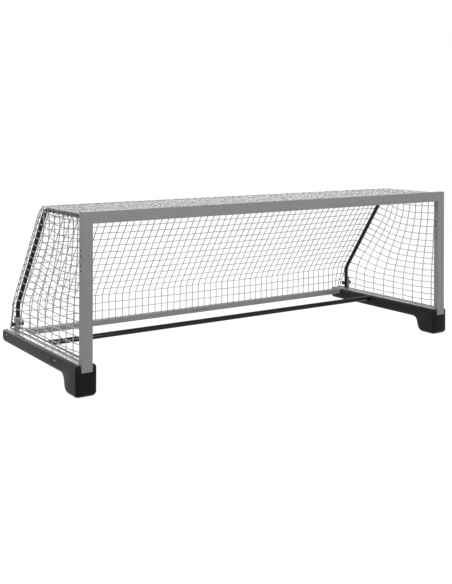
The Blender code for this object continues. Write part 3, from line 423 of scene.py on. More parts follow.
def settled(obj, look):
    """The object as its modifiers leave it, a plain mesh with one material."""
    bpy.context.view_layer.update()
    graph = bpy.context.evaluated_depsgraph_get()
    mesh = bpy.data.meshes.new_from_object(obj.evaluated_get(graph))
    name = obj.name
    bpy.data.objects.remove(obj)
    made = linked(name, mesh)
    mesh.name = name
    mesh.materials.clear()
    mesh.materials.append(finish_of(look))
    return made


def fitted(body, obj, slot, *nodes):
    """Sets a finished piece on its body, in place of the nodes named."""
    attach(obj, body)
    if nodes:
        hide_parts(*nodes)
    return obj


def titled(name):
    return name.replace("_", " ").capitalize()


def group_tree(name, **sockets):
    """A tree of geometry nodes with these named inputs, what adds nodes to it, its inputs and its end."""
    tree = bpy.data.node_groups.new(name, "GeometryNodeTree")
    tree.interface.new_socket("Geometry", in_out="OUTPUT", socket_type="NodeSocketGeometry")
    for socket, kind in {"geometry": "Geometry", **sockets}.items():
        tree.interface.new_socket(titled(socket), in_out="INPUT", socket_type="NodeSocket" + kind)
    add = partial(node, tree)
    return tree, add, add("NodeGroupInput").outputs, add("NodeGroupOutput")


def run_tree(obj, tree, **values):
    """Runs a tree on an object, with its inputs set by their identifiers."""
    modifier = obj.modifiers.new(tree.name, "NODES")
    modifier.node_group = tree
    wanted = {titled(name): value for name, value in values.items()}
    for item in tree.interface.items_tree:
        if item.item_type == "SOCKET" and item.in_out == "INPUT" and item.name in wanted:
            modifier[item.identifier] = wanted[item.name]
    return obj


def cord_tree():
    """Sweeps a round cord along every chain of edges, and sets a knot on each marked point."""
    tree, add, out, end = group_tree("cords", radius="Float", knot="Float", sides="Int", material="Material")
    chains = add("GeometryNodeMeshToCurve", {"Mesh": out["Geometry"]})
    along = add("GeometryNodeCaptureAttribute", {"Geometry": chains})
    along.capture_items.new("FLOAT", "Along")
    wired(along, {"Along": add("GeometryNodeSplineParameter").outputs["Length"]})
    ring = add("GeometryNodeCurvePrimitiveCircle", {"Resolution": out["Sides"], "Radius": out["Radius"]})
    around = add("GeometryNodeCaptureAttribute", {"Geometry": ring})
    around.capture_items.new("VECTOR", "Around")
    wired(around, {"Around": add("GeometryNodeInputPosition")})
    swept = add("GeometryNodeCurveToMesh", {"Curve": along, "Profile Curve": around, "Fill Caps": True})
    direction = add("ShaderNodeVectorMath", {0: around.outputs["Around"]}, operation="NORMALIZE")
    part = add("ShaderNodeSeparateXYZ", {0: direction}).outputs
    place = add("ShaderNodeCombineXYZ", {"X": part["X"], "Y": part["Y"], "Z": along.outputs["Along"]})
    kept = add(
        "GeometryNodeStoreNamedAttribute", {"Geometry": swept, "Name": "lay", "Value": place},
        data_type="FLOAT_VECTOR", domain="POINT",
    )
    marked = add("GeometryNodeInputNamedAttribute", {"Name": "knot"}, data_type="BOOLEAN")
    points = add("GeometryNodeMeshToPoints", {"Mesh": out["Geometry"], "Selection": marked})
    ball = add("GeometryNodeMeshIcoSphere", {"Radius": out["Knot"], "Subdivisions": 1})
    knots = add("GeometryNodeInstanceOnPoints", {"Points": points, "Instance": ball})
    joined = add("GeometryNodeJoinGeometry", {0: knots})
    wired(joined, {0: kept})
    real = add("GeometryNodeRealizeInstances", {"Geometry": joined})
    soft = add("GeometryNodeSetShadeSmooth", {"Geometry": real})
    done = add("GeometryNodeSetMaterial", {"Geometry": soft, "Material": out["Material"]})
    wired(end, {0: done})
    return tree


def fastener_tree():
    """Sets a head on each point, scaled to its radius and turned to the point's facing."""
    tree, add, out, end = group_tree("fasteners", head="Object", radius="Float", material="Material")
    head = add("GeometryNodeObjectInfo", {"Object": out["Head"]}).outputs["Geometry"]
    facing = add("GeometryNodeInputNamedAttribute", {"Name": "facing"}, data_type="FLOAT_VECTOR")
    turn = add("FunctionNodeAlignRotationToVector", {"Vector": facing}, axis="Z")
    heads = add(
        "GeometryNodeInstanceOnPoints",
        {"Points": out["Geometry"], "Instance": head, "Rotation": turn, "Scale": out["Radius"]},
    )
    real = add("GeometryNodeRealizeInstances", {"Geometry": heads})
    done = add("GeometryNodeSetMaterial", {"Geometry": real, "Material": out["Material"]})
    wired(end, {0: done})
    return tree


TREES = {}


def corded(name, chains, look, diameter, knots=(), knot=0.0, sides=6, replaced=()):
    """Cords along chains of points, and knots on points of their own."""
    points, edges = [], []
    for chain in chains:
        first = len(points)
        points += chain
        edges += [(first + i, first + i + 1) for i in range(len(chain) - 1)]
    first = len(points)
    mesh = bpy.data.meshes.new(name)
    mesh.from_pydata([tuple(p) for p in points + list(knots)], edges, [])
    marked = mesh.attributes.new("knot", "BOOLEAN", "POINT")
    marked.data.foreach_set("value", [i >= first for i in range(len(mesh.vertices))])
    obj = linked(name, mesh)
    run_tree(obj, TREES["cords"], radius=diameter / 2, knot=knot / 2, sides=sides, material=finish_of(look))
    return fitted("frame", settled(obj, look), "net_cord", *replaced)


def mesh_of(name, shape):
    """The mesh of a shape, which is then let go."""
    mesh = bpy.data.meshes.new(name)
    shape.to_mesh(mesh)
    shape.free()
    return mesh


def turned(name, parts):
    """A mesh of closed bodies turned about Z. A part is its sides, its lobes and its profile.

    A profile goes up the outside: a radius, a height and, where the lobes show, how far they stand out.
    """
    shape = bmesh.new()
    for sides, lobes, profile in parts:
        rings = []
        for radius, height, *lobe in profile:
            if radius == 0:
                rings.append([shape.verts.new((0, 0, height))] * sides)
                continue
            ring = []
            for angle in turns(sides):
                reach = radius + sum(lobe) * math.cos(lobes * angle)
                ring.append(shape.verts.new((reach * math.cos(angle), reach * math.sin(angle), height)))
            rings.append(ring)
        looped = profile[0][0] > 0
        for k in range(len(rings) - (0 if looped else 1)):
            low, high = rings[k], rings[(k + 1) % len(rings)]
            for i in range(sides):
                j = (i + 1) % sides
                corners = [low[i], low[j], high[j], high[i]]
                shape.faces.new([v for n, v in enumerate(corners) if v not in corners[:n]])
    bmesh.ops.recalc_face_normals(shape, faces=shape.faces)
    return mesh_of(name, shape)


def shaded_smooth(mesh, angle):
    mesh.shade_smooth()
    mesh.set_sharp_from_angle(angle=math.radians(angle))
    return mesh


def smooth_copy(name, look, slot, cutters=()):
    """A copy of a node whose faces are joined and shaded smooth between sharp edges."""
    shape = bmesh.new()
    shape.from_mesh(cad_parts[name].data)
    bmesh.ops.remove_doubles(shape, verts=shape.verts, dist=1e-5)
    mesh = mesh_of(name + "_fine", shape)
    for layer in {"custom_normal", "sharp_face"} & set(mesh.attributes.keys()):
        mesh.attributes.remove(mesh.attributes[layer])
    obj = linked(name + "_fine", mesh)
    for cutter in cutters:
        cut = obj.modifiers.new("Cut", "BOOLEAN")
        cut.object, cut.solver, cut.operation = cutter, "MANIFOLD", "DIFFERENCE"
    obj = settled(obj, look)
    for cutter in cutters:
        bpy.data.objects.remove(cutter)
    shaded_smooth(obj.data, 35)
    return fitted("frame", obj, slot, name)


# Where the rows and columns of the netting run

COLUMN_STEP = 0.05695  # between the columns of the back
COLUMN_SHIFT = 0.043  # of the column next to the goal's middle
BACK_ROWS = [0.107, 0.1645] + [0.222 + 0.0506 * k for k in range(15)]
BACK_LIFT = 0.016  # of the back's rows at the sides, over their middle
BACK_LIMIT = 1.1505  # depth of the back below the arms' bends
TOP_ROWS = 10
TOP_SAG = 0.004
SIDE_ROWS = [0.106 + 0.0475 * k + 0.0085 * max(k - 10, 0) for k in range(17)]
SIDE_COLUMNS = range(1, 10)
SIDE_FOOT, SIDE_FOOT_STEP, SIDE_FOOT_BOW = 0.104, 0.1126, 0.024  # the columns' depths at the rail
SIDE_HEAD_STEP = 0.068  # between the columns under the top
BULGE, BULGE_HEIGHT, BULGE_SPREAD = 0.028, 0.63, 0.11  # of the last column, backwards
SIDE_CLIMB = 0.195  # of a side's rows towards the arm, for each metre of depth
SIDE_SAG = 0.014  # of a side's rows before they climb
CORD_SAG = 0.03  # of a cord halfway between two knots, for each metre between them
SLACK_BEHIND_ARM = 0.026
SLACK_AT_CORNER = 0.043
CORNER_ROUND = 0.030  # how far the net's upper rear corners are rounded off
CORNER_X = ARM_X + ARM_RADIUS + 0.008
NET_TOP = ARM_TOP + ARM_RADIUS + 0.0045
IN_TRACK = 0.006  # how far the net's edge lies inside the mouth of a track
POST_BACK = BAR_BACK + 0.003  # where the net starts that doesn't come out of a track
FOOT_X, FOOT_DEPTH, FOOT_HEIGHT = ARM_X + 0.0145, STERN - 0.023, DECK + 0.004  # a hooked corner
BRACKET_PASS = BRACKET_WEB + 0.004  # where the net passes outside a bracket


def arm_depth(height):
    """Depth of the arm's middle at a height, with a sharp upper bend."""
    return min(ARM_SLANT_START + (ARM_TOP - height) * ARM_SLANT, ARM_FOOT)


def corner(height):
    """The line where the side and the back of the net meet, outside and behind the arm."""
    foot = eased(height, 0.27, 0.04)
    rounded = CORNER_ROUND * eased(height, 0.90, NET_TOP) ** 2
    depth = mixed(arm_depth(height) + SLACK_AT_CORNER - rounded, FOOT_DEPTH, foot ** 2)
    return at(mixed(CORNER_X, FOOT_X, foot), depth, height)


def towards_corner(x):
    """0 for most of the width, rising to 1 where the back of the net meets its side."""
    return eased(abs(x), 1.33, CORNER_X)


def back_point(x, height):
    """A point of the back of the net, whose rows hang a little lower in the middle."""
    height += BACK_LIFT * eased(height, 0, 0.35) * eased(height, 0.95, 0.65) * eased(abs(x), 0.5, 1.5)
    flat = min(arm_depth(height) + SLACK_BEHIND_ARM, BACK_LIMIT)
    return at(x, mixed(flat, corner(height).y - FRONT, towards_corner(x)), height)


def back_foot(x):
    """The lower edge of the back lies on the rear bar, and runs out to the hooks."""
    inner = math.copysign(min(abs(x), FOOT_X), x)
    return at(inner, mixed(REAR_BAR_BACK - 0.012, FOOT_DEPTH, eased(abs(x), 1.40, CORNER_X)), DECK + 0.0025)


def fold(x):
    """The edge between the top and the back of the net."""
    slack = mixed(SLACK_BEHIND_ARM, SLACK_AT_CORNER - CORNER_ROUND, towards_corner(x))
    return at(x, arm_depth(NET_TOP) + slack - 0.003, NET_TOP)


def side_column(number, height):
    """Depth of a column of the side of the net: upright at the foot, drawn forward higher up."""
    bow = SIDE_FOOT_BOW * math.sin(math.pi * (number - 1) / 7)
    foot = SIDE_FOOT + SIDE_FOOT_STEP * (number - 1) - bow
    if number == SIDE_COLUMNS[-1]:
        foot += BULGE * math.exp(-((height - BULGE_HEIGHT) / BULGE_SPREAD) ** 2)
    return mixed(SIDE_HEAD_STEP * number, foot, eased(height, 0.88, 0.15))


def side_row(base, depth):
    """Height of a row of the side of the net: it sags, and climbs evenly towards the arm.

    A row at mid height starts to climb the furthest before the arm.
    """
    start = 0.48 - 0.57 * max(base - 0.5, 0) - max(base - 0.86, 0) - 0.45 * max(0.45 - base, 0)
    slope = SIDE_CLIMB * eased(base, 0.10, 0.36)
    height = base
    for _ in range(4):
        past = start - arm_depth(height) + depth
        climb = slope * (past + math.hypot(past, 0.05)) / 2
        height = base - SIDE_SAG * eased(depth, 0, 0.3) + climb
    return min(height, NET_TOP - 0.004)


def side_point(depth, height):
    """A point of the side of the net, which leaves the tracks and passes outside the arm and its bracket."""
    gap = arm_depth(height) - depth
    upper = eased(gap, 0.30, 0.02) * (CORNER_X - POST_X)
    lower = eased(height, 0.20, 0.14) * eased(depth, 1.00, 1.08) * (BRACKET_PASS - POST_X)
    return at(POST_X + max(upper, lower) * eased(height, 0.035, 0.085), depth, height)


def around_knob(place):
    """Moves a point of the net out of the way of the knob that stands through a mesh."""
    reach, room = 0.12, 0.026
    away = place - at(place.x, ARM_FOOT, CLAMP_HEIGHT)
    distance = away.length
    if not 1e-6 < distance < reach:
        return place
    wanted = mixed(distance, math.hypot(distance, room), eased(distance, reach, 0))
    return place + away * (wanted / distance - 1)


def netting(name, grid, seed, sign, replaced):
    """Rows and columns through a grid of places, whose knots stray a little and whose cords sag."""
    settings = bpy.context.scene.goal_net
    draw, wander = random.Random(seed), settings.wander
    inside = [(i, j) for i in range(1, len(grid) - 1) for j in range(1, len(grid[i]) - 1)]
    for i, j in inside:
        grid[i][j] = grid[i][j] + Vector(draw.uniform(-wander, wander) for _ in range(3))
    chains = []
    for line in grid[:] + [list(column) for column in zip(*grid)]:
        chain = [line[0]]
        for before, after in zip(line, line[1:]):
            slack = CORD_SAG * (after - before).to_2d().length * Z_AXIS
            chain += [(before + after) / 2 - slack, after]
        chains.append([mirrored(place, sign) for place in chain])
    knots = [mirrored(grid[i][j], sign) for i, j in inside]
    return corded(name, chains, "cord", settings.strand, knots, settings.knot, replaced=replaced)


def column_places():
    reach = int(CORNER_X / COLUMN_STEP) + 1
    inner = [COLUMN_SHIFT + COLUMN_STEP * k for k in range(-reach - 1, reach)]
    return [-CORNER_X] + [x for x in inner if abs(x) < CORNER_X - 0.01] + [CORNER_X]


def back_grid():
    grid = [[back_foot(x) for x in column_places()]]
    for height in BACK_ROWS:
        row = [back_point(x, height) for x in column_places()]
        row[0], row[-1] = mirrored(corner(height), -1), corner(height)
        grid.append(row)
    return grid + [[fold(x) for x in column_places()]]


def top_grid():
    grid = []
    for k in range(TOP_ROWS + 1):
        share = k / TOP_ROWS
        row = []
        for x in column_places():
            over_post = abs(x) >= HALF_MOUTH - 0.012
            start = POST_BACK if over_post else BAR_BACK - 0.004
            height = mixed(BAR_TRACK, NET_TOP, 1.0 if over_post else eased(share, 0, 0.2))
            sag = TOP_SAG * math.sin(math.pi * share) * eased(abs(x), 1.5, 1.2)
            row.append(at(x, mixed(start, fold(x).y - FRONT, share), height - sag))
        grid.append(row)
    return grid


def side_grid():
    post, rail = BAR_BACK - IN_TRACK, DECK - IN_TRACK
    foot = [at(POST_X, side_column(number, DECK), rail) for number in SIDE_COLUMNS]
    grid = [[at(POST_X, post, rail), *foot, at(FOOT_X, FOOT_DEPTH, FOOT_HEIGHT)]]
    for base in SIDE_ROWS:
        row = [at(POST_X, post, min(side_row(base, BAR_BACK), TOP - 0.04))]
        for number in SIDE_COLUMNS:
            height = side_row(base, side_column(number, base))
            depth = side_column(number, height)
            row.append(side_point(depth, side_row(base, depth)))
        row.append(corner(side_row(base, arm_depth(base + 0.06) + SLACK_AT_CORNER)))
        grid.append(row)
    top = [at(POST_X, POST_BACK, NET_TOP)]
    for number in SIDE_COLUMNS:
        depth = side_column(number, NET_TOP)
        top.append(at(mixed(POST_X + 0.02, CORNER_X, eased(depth, 0, 0.1)), depth, NET_TOP))
    grid.append(top + [fold(CORNER_X)])
    return [[around_knob(place) for place in row] for row in grid]


def hem_chains():
    """Cords in the edges of the net: on the rear bar, along the folds, and round each bracket to its hook."""
    widths = [mixed(-CORNER_X, CORNER_X, i / 60) for i in range(61)]
    chains = [[back_foot(x) for x in widths], [fold(x) for x in widths]]
    rear = fold(CORNER_X)
    edge = [corner(mixed(FOOT_HEIGHT, NET_TOP, i / 24)) for i in range(24)] + [rear]
    top = [at(CORNER_X, mixed(POST_BACK, rear.y - FRONT, i / 12), NET_TOP) for i in range(13)]
    rail = [
        at(POST_X, ARM_FOOT - 0.045, DECK - 0.004), at(POST_X + 0.006, ARM_FOOT - 0.038, DECK + 0.002),
        at(BRACKET_PASS, ARM_FOOT - 0.020, FOOT_HEIGHT), at(BRACKET_PASS, ARM_FOOT + 0.020, FOOT_HEIGHT),
        at(BRACKET_PASS - 0.004, ARM_FOOT + 0.050, FOOT_HEIGHT), at(FOOT_X, FOOT_DEPTH, FOOT_HEIGHT),
    ]
    for _, sign in BOTH:
        chains += [[mirrored(place, sign) for place in chain] for chain in (edge, top, rail)]
    return chains


# Where the flat ropes lie in the tracks

ROPE_DIP = 0.0064  # the rope's middle lies this far inside the mouth of the track
ROPE_WIDE, ROPE_HIGH = 0.0092, 0.0018  # from the rope's middle to its strands' middles
ROPE_STEPS = 18  # in each lay
BAR_ROPE_END = 1.478  # from the middle of the crossbar
POST_ROPE = (DECK + 0.020, TOP - 0.090)  # heights of its ends
RAIL_ROPE = (BAR_BACK + 0.014, ARM_FOOT - 0.035)  # depths of its ends


def rope_chains(start, end, across):
    """Three strands of a flat rope about a straight line, laid right-handed."""
    lays = (end - start).length / bpy.context.scene.goal_net.rope_lay
    up = (end - start).normalized().cross(across)
    steps = round(lays * ROPE_STEPS)
    chains = []
    for strand in range(3):
        chain = []
        for i in range(steps + 1):
            angle = math.tau * (i / steps * lays + strand / 3)
            offset = across * (ROPE_WIDE * math.cos(angle)) + up * (ROPE_HIGH * math.sin(angle))
            chain.append(start.lerp(end, i / steps) + offset)
        chains.append(chain)
    return chains


# Small parts

KNOB_PROFILE = (  # radius, height and lobe, from the hub's seat to the dished face
    (0.0085, 0.0), (0.0090, 0.0008), (0.0078, 0.0030), (0.0070, 0.0070), (0.0078, 0.0098, 0.0006),
    (0.0125, 0.0112, 0.0022), (0.0148, 0.0126, 0.0026), (0.0156, 0.0146, 0.0027), (0.0158, 0.0180, 0.0027),
    (0.0156, 0.0208, 0.0027), (0.0146, 0.0230, 0.0026), (0.0128, 0.0240, 0.0020), (0.0100, 0.0237, 0.0008),
)
SCREW_BORE = 0.0043
KNOB_GAP = 0.0003  # between a knob and what it is tightened against
SOCKET_FACE = BAR_BACK + 0.0033
BOLT_SEAT = FLOAT_SIDE - 0.0084  # the floor of the recess round a float's bolt
DECK_SCREWS = (  # on the rails: how far outside the post's middle, and the depth
    (-0.0285, 0.300), (-0.0285, TUBE_DEPTH), (-0.0285, ARM_FOOT - 0.005), (0.0285, 0.062), (0.0285, 0.300),
)
SOCKET_SCREWS = [(x, z) for x in (-0.024, 0.024) for z in (-0.010, 0.010)]  # from the socket's middle


def make_knobs():
    """Five-lobed knobs with a waisted hub: the nut inside is bored through, the one outside is closed."""
    through = [
        (SCREW_BORE, 0.0008), *KNOB_PROFILE,
        (0.0062, 0.0226), (0.0050, 0.0226), (SCREW_BORE, 0.0219),
    ]
    closed = [(0, 0.0), *KNOB_PROFILE, (0.0078, 0.0226), (0.0040, 0.0222), (0, 0.0221)]
    for side, sign in BOTH:
        for word, body, outwards, seat, profile in (
            ("outer", "clamp_screw_", 1, BRACKET_WEB + KNOB_GAP, closed),
            ("inner", "clamp_nut_", -1, ARM_X - ARM_RADIUS - KNOB_GAP, through),
        ):
            facing = sign * outwards * X_AXIS
            turn = Matrix((Y_AXIS, facing.cross(Y_AXIS), facing)).transposed().to_4x4()
            mesh = turned(f"knob_{word}_{side}_fine", [(60, 5, profile)])
            mesh.transform(Matrix.Translation(at(sign * seat, ARM_FOOT, CLAMP_HEIGHT)) @ turn)
            mesh.materials.append(finish_of("plastic"))
            shaded_smooth(mesh, 50)
            fitted(body + side, linked(mesh.name, mesh), "black_plastic", f"knob_{word}_{side}")


def fastened(name, head, radius, look, places):
    """Heads of one size on places, each with the direction that it faces."""
    mesh = bpy.data.meshes.new(name)
    mesh.from_pydata([tuple(place) for place, _ in places], [], [])
    facing = mesh.attributes.new("facing", "FLOAT_VECTOR", "POINT")
    facing.data.foreach_set("vector", [channel for _, direction in places for channel in direction])
    obj = run_tree(linked(name, mesh), TREES["fasteners"], head=head, radius=radius, material=finish_of(look))
    return fitted("frame", settled(obj, look), "steel")


def button_head():
    """A domed head with a key's recess, one unit in radius."""
    profile = [(0, -0.1), (1.02, -0.1), (1.04, 0.10), (0.98, 0.24), (0.80, 0.40), (0.56, 0.48), (0.46, 0.46)]
    profile += [(0.42, 0.20), (0, 0.14)]
    mesh = turned("button_head", [(20, 0, profile)])
    return linked("button_head", shaded_smooth(mesh, 40))


def bolt_head():
    """A hexagon head with a chamfered top on its washer, one unit in radius."""
    washer = [(0, 0), (1.4, 0), (1.44, 0.04), (1.44, 0.17), (1.40, 0.21), (0, 0.21)]
    head = [(0, 0.18), (1.02, 0.18), (1.02, 0.80), (0.90, 0.93), (0, 0.95)]
    parts = [(24, 0, washer), (6, 0, head)]
    return linked("bolt_head", shaded_smooth(turned("bolt_head", parts), 30))


def make_fasteners():
    """Screws at the joints, on the rails and on the sockets, and the bolts that hold the floats."""
    button, bolt = button_head(), bolt_head()
    posts, deck, sockets, floats = [], [], [], []
    for _, sign in BOTH:
        outwards = sign * X_AXIS
        for face, facing in ((HALF_MOUTH, -outwards), (2 * POST_X - HALF_MOUTH, outwards)):
            posts += [(at(sign * face, SCREW_DEPTH, SPLICE + z), facing) for z in SPLICE_SCREWS]
        deck += [(at(sign * (POST_X + x), depth, DECK), Z_AXIS) for x, depth in DECK_SCREWS]
        sockets += [(at(sign * (POST_X + x), SOCKET_FACE, ARM_TOP + z), Y_AXIS) for x, z in SOCKET_SCREWS]
        floats += [(at(sign * BOLT_SEAT, place.y, place.z), outwards) for place in FLOAT_BOLTS]
    bar = [(at(REAR_SPLICE_X + x, REAR_BAR_FRONT, BAR_MIDDLE), -Y_AXIS) for x in SPLICE_SCREWS]
    fastened("splice_screws", button, 0.0065, "screws", posts + bar)
    fastened("deck_screws", button, 0.0054, "screws", deck)
    fastened("socket_screws", button, 0.0040, "steel", sockets)
    fastened("float_bolt_heads", bolt, 0.0076, "steel", floats)
    for head in (button, bolt):
        bpy.data.objects.remove(head)


def oval_groove(sign, bolt):
    """Cuts the oval line moulded round a float's bolt, which sits in the front half of it."""
    long, tall, bite, steps, sides = 0.038, 0.0175, 0.0038, 48, 8
    centre = at(sign * FLOAT_SIDE, bolt.y + 0.024, bolt.z)
    shape = bmesh.new()
    rings = []
    for angle in turns(steps):
        cos, sin = math.cos(angle), math.sin(angle)
        outwards = Vector((0, cos / long, sin / tall)).normalized()
        place = centre + Vector((0, long * cos, tall * sin))
        ring = [place + bite * (math.cos(t) * outwards + math.sin(t) * X_AXIS) for t in turns(sides)]
        rings.append([shape.verts.new(point) for point in ring])
    for i in range(steps):
        for j in range(sides):
            k, n = (i + 1) % steps, (j + 1) % sides
            shape.faces.new([rings[i][j], rings[k][j], rings[k][n], rings[i][n]])
    bmesh.ops.recalc_face_normals(shape, faces=shape.faces)
    return linked("oval_groove", mesh_of("oval_groove", shape))


def hook_chain(sign):
    """A wire eye on the end cap of a rail, which holds a corner of the net."""
    radius, stem = 0.0052, 0.0045
    foot = at(sign * FOOT_X, FOOT_DEPTH - 0.001, DECK - 0.003)
    centre = foot + Z_AXIS * (stem + radius)
    ring = [centre + radius * (math.sin(t) * X_AXIS - math.cos(t) * Z_AXIS) for t in turns(20)]
    return [foot] + ring + [ring[0] + 0.0001 * X_AXIS]


# The stage, in metres, and the camera's turns in degrees

FLOOR_SIZE = 80
FLOOR_GAP = 0.001  # between the floor and the soles
FLOOR_GLOW, GLOW_SHARE = 1.2, 0.8  # what the camera sees of the floor, the rest being lit and shaded
LAMPS = {  # width, height and place
    "key": (4.0, 3.0, (1.5, -9.0, 4.2)),
    "top": (2.2, 1.6, (-0.6, 0.6, 5.2)),
    "rim": (6.0, 3.2, (-1.0, 7.4, 3.2)),
    "side": (1.6, 1.2, (-4.1, 0.3, 1.3)),
}
LAMPS_AIM = Vector((0, 0, 0.5))
CAMERA_PLACE = (-3.9369, -5.0432, 1.4995)  # across, depth and height
HEADING, ROLL = -34.07, 0.10
SENSOR, FOCAL_LENGTH = 36.0, 56.19  # in millimetres
SHIFT = -0.2852  # the camera is level, and the photo shows the lower part of its view


# Operators


class OBJECT_OT_goal_stage(bpy.types.Operator):
    """Sets up the floor, the surroundings, the lamps and the camera"""

    bl_idname = "goal.stage"
    bl_label = "Stage"

    def execute(self, context):
        stage = context.scene.goal_stage
        context.scene.view_settings.view_transform = "Standard"
        world = bpy.data.worlds.new("white_studio")
        context.scene.world = world
        world.use_nodes = True
        add = partial(node, world.node_tree)
        strength = add("ShaderNodeMapRange", {"Value": self.seen(add), "To Min": stage.world})
        wired(world.node_tree.nodes["Background"], {"Color": (1, 1, 1, 1), "Strength": strength})

        bpy.ops.mesh.primitive_grid_add(x_subdivisions=2, y_subdivisions=2, size=FLOOR_SIZE)
        floor = context.object
        floor.name = "studio_floor"
        floor.location.z = CAD_BOX[0].z - FLOOR_GAP
        floor.data.materials.append(self.pale_floor(stage.floor))

        for name, (wide, high, place) in LAMPS.items():
            lamp = bpy.data.lights.new(name + "_lamp", "AREA")
            lamp.energy, lamp.shape, lamp.size, lamp.size_y = getattr(stage, name), "RECTANGLE", wide, high
            obj = linked(name + "_lamp", lamp)
            obj.location = place
            obj.rotation_euler = (LAMPS_AIM - Vector(place)).to_track_quat("-Z", "Y").to_euler()

        lens = bpy.data.cameras.new("photo_camera")
        lens.sensor_width, lens.lens, lens.shift_y, lens.clip_end = SENSOR, FOCAL_LENGTH, SHIFT, 200
        camera = linked("photo_camera", lens)
        turn = Matrix.Rotation(math.radians(HEADING), 4, "Z") @ Matrix.Rotation(math.radians(90), 4, "X")
        turn = turn @ Matrix.Rotation(math.radians(ROLL), 4, "Z")
        camera.matrix_world = Matrix.Translation(at(*CAMERA_PLACE)) @ turn
        context.scene.camera = camera
        return {"FINISHED"}

    def pale_floor(self, base):
        """Matt studio paper, which glows to white in the camera's eye and keeps the goal's shadow."""
        made, add, here = new_material("pale_floor")
        paper = add("ShaderNodeTexNoise", {"Vector": here, "Scale": mm(33)})
        shades = {0: paper, 6: tone(base, 0.99), 7: tone(base, 1.01)}
        tint = add("ShaderNodeMix", shades, data_type="RGBA")
        matt = {"Base Color": tint.outputs[2], "Roughness": 0.9, "Specular IOR Level": 0.1}
        shader = wired(shader_of(made), matt)
        share = add("ShaderNodeMath", {0: self.seen(add), 1: GLOW_SHARE}, operation="MULTIPLY")
        glow = add("ShaderNodeEmission", {"Strength": FLOOR_GLOW})
        mix = add("ShaderNodeMixShader", {0: share, 1: shader, 2: glow})
        wired(made.node_tree.nodes["Material Output"], {"Surface": mix})
        return made

    @staticmethod
    def seen(add):
        """1 for rays from the camera, and for those that metal and glass show."""
        paths = add("ShaderNodeLightPath").outputs
        mirrors = {0: paths["Is Glossy Ray"], 1: paths["Is Transmission Ray"]}
        shown = add("ShaderNodeMath", mirrors, operation="MAXIMUM")
        return add("ShaderNodeMath", {0: paths["Is Camera Ray"], 1: shown}, operation="MAXIMUM")


CARRIED_OVER = (  # the finishes of the nodes that keep the model's shapes
    ("coat", ("crossbar", "post_upper_", "post_lower_", "rear_bar_left", "rear_bar_right", "bracket_")),
    ("section", ("side_rail_",)),
    ("aluminium", ("corner_block_", "rear_bar_insert_", "arm_socket_")),
    ("plastic", ("rail_end_cap_", "lower_tube_insert_", "arm_plug_", "tube_saddle_")),
    ("steel", ("post_sleeve_", "float_bolt_", "clamp_bolt_", "rear_bar_sleeve")),
    ("foam", ("foam_core_",)),
)


class OBJECT_OT_goal_frame(bpy.types.Operator):
    """Finishes the front frame, the rails, the bars across the base and what is inside them"""

    bl_idname = "goal.frame"
    bl_label = "Frame"

    def execute(self, context):
        for look, names in CARRIED_OVER:
            for name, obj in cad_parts.items():
                if name.startswith(names):
                    for slot in obj.material_slots:
                        slot.material = finish_of(look)
        return {"FINISHED"}


class OBJECT_OT_goal_floats(bpy.types.Operator):
    """Finishes the floats, the arms and the lower tube, with smooth curves"""

    bl_idname = "goal.floats"
    bl_label = "Floats and tubes"

    def execute(self, context):
        for side, sign in BOTH:
            grooves = [oval_groove(sign, bolt) for bolt in FLOAT_BOLTS]
            smooth_copy("float_shell_" + side, "shell", "float_plastic", grooves)
            smooth_copy("net_arm_" + side, "tube", "black_tube")
        smooth_copy("lower_tube", "tube", "black_tube")
        return {"FINISHED"}


class OBJECT_OT_goal_fasteners(bpy.types.Operator):
    """Makes the knobs, the screws and the bolts"""

    bl_idname = "goal.fasteners"
    bl_label = "Knobs and fasteners"

    def execute(self, context):
        TREES["fasteners"] = fastener_tree()
        make_knobs()
        make_fasteners()
        return {"FINISHED"}


class OBJECT_OT_goal_net(bpy.types.Operator):
    """Knots the top, the back and the sides of the net, with its edges"""

    bl_idname = "goal.net"
    bl_label = "Net"

    def execute(self, context):
        settings = context.scene.goal_net
        TREES["cords"] = cord_tree()
        netting("netting_back", back_grid(), settings.seed, 1, ("net_back_upper", "net_back_lower"))
        netting("netting_top", top_grid(), settings.seed + 1, 1, ("net_top",))
        for side, sign in BOTH:
            netting("netting_side_" + side, side_grid(), settings.seed + 2, sign, ("net_side_" + side,))
        corded("net_hem", hem_chains(), "hem", settings.hem, sides=8)
        return {"FINISHED"}


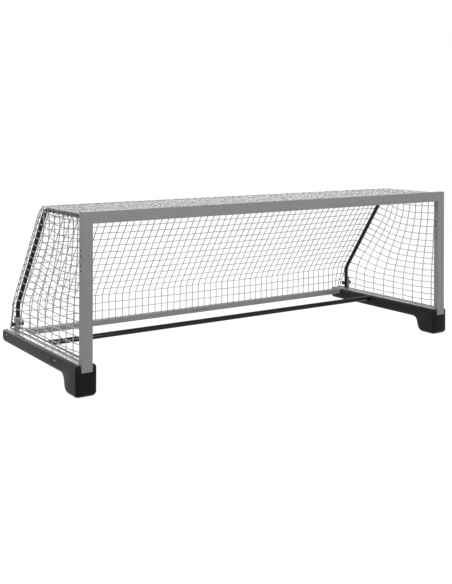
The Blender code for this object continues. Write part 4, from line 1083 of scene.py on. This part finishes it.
class OBJECT_OT_goal_ropes(bpy.types.Operator):
    """Lays the flat ropes that hold the net in the tracks of the frame"""

    bl_idname = "goal.ropes"
    bl_label = "Track ropes"

    def execute(self, context):
        settings = context.scene.goal_net
        bar, rail = BAR_BACK - ROPE_DIP, DECK - ROPE_DIP
        ends = [at(sign * BAR_ROPE_END, bar, BAR_TRACK) for _, sign in BOTH]
        lines = [("crossbar", *ends, Z_AXIS)]
        for side, sign in BOTH:
            x = sign * POST_X
            lines.append(("post_" + side, *(at(x, bar, height) for height in POST_ROPE), X_AXIS))
            lines.append(("rail_" + side, *(at(x, depth, rail) for depth in RAIL_ROPE), X_AXIS))
        for name, start, end, across in lines:
            corded(
                "track_rope_" + name, rope_chains(start, end, across), "rope", settings.rope_strand,
                sides=10, replaced=("hem_cord_" + name,),
            )
        for side, sign in BOTH:
            obj = corded("net_hook_" + side, [hook_chain(sign)], "steel", 0.0022, sides=8)
        return {"FINISHED"}


class VIEW3D_PT_goal(bpy.types.Panel):
    """The goal's finishes, net and stage"""

    bl_label = "Water polo goal"
    bl_idname = "VIEW3D_PT_goal"
    bl_space_type = "VIEW_3D"
    bl_region_type = "UI"
    bl_category = "Goal"

    def draw(self, context):
        for group in ("goal_finishes", "goal_net", "goal_stage"):
            box = self.layout.box()
            settings = getattr(context.scene, group)
            for name in settings.bl_rna.properties.keys():
                if name not in ("rna_type", "name"):
                    box.prop(settings, name)
        for step in STEPS:
            self.layout.operator(step.bl_idname)


STEPS = (
    OBJECT_OT_goal_stage, OBJECT_OT_goal_frame, OBJECT_OT_goal_floats, OBJECT_OT_goal_fasteners,
    OBJECT_OT_goal_net, OBJECT_OT_goal_ropes,
)
CLASSES = (GoalFinishes, GoalNet, GoalStage) + STEPS + (VIEW3D_PT_goal,)


def register():
    for each in CLASSES:
        bpy.utils.register_class(each)
    bpy.types.Scene.goal_finishes = PointerProperty(type=GoalFinishes)
    bpy.types.Scene.goal_net = PointerProperty(type=GoalNet)
    bpy.types.Scene.goal_stage = PointerProperty(type=GoalStage)


def unregister():
    del bpy.types.Scene.goal_finishes, bpy.types.Scene.goal_net, bpy.types.Scene.goal_stage
    for each in reversed(CLASSES):
        bpy.utils.unregister_class(each)


def main():
    register()
    bpy.ops.goal.stage()
    bpy.ops.goal.frame()
    bpy.ops.goal.floats()
    bpy.ops.goal.fasteners()
    bpy.ops.goal.net()
    bpy.ops.goal.ropes()


if __name__ == "__main__":
    main()
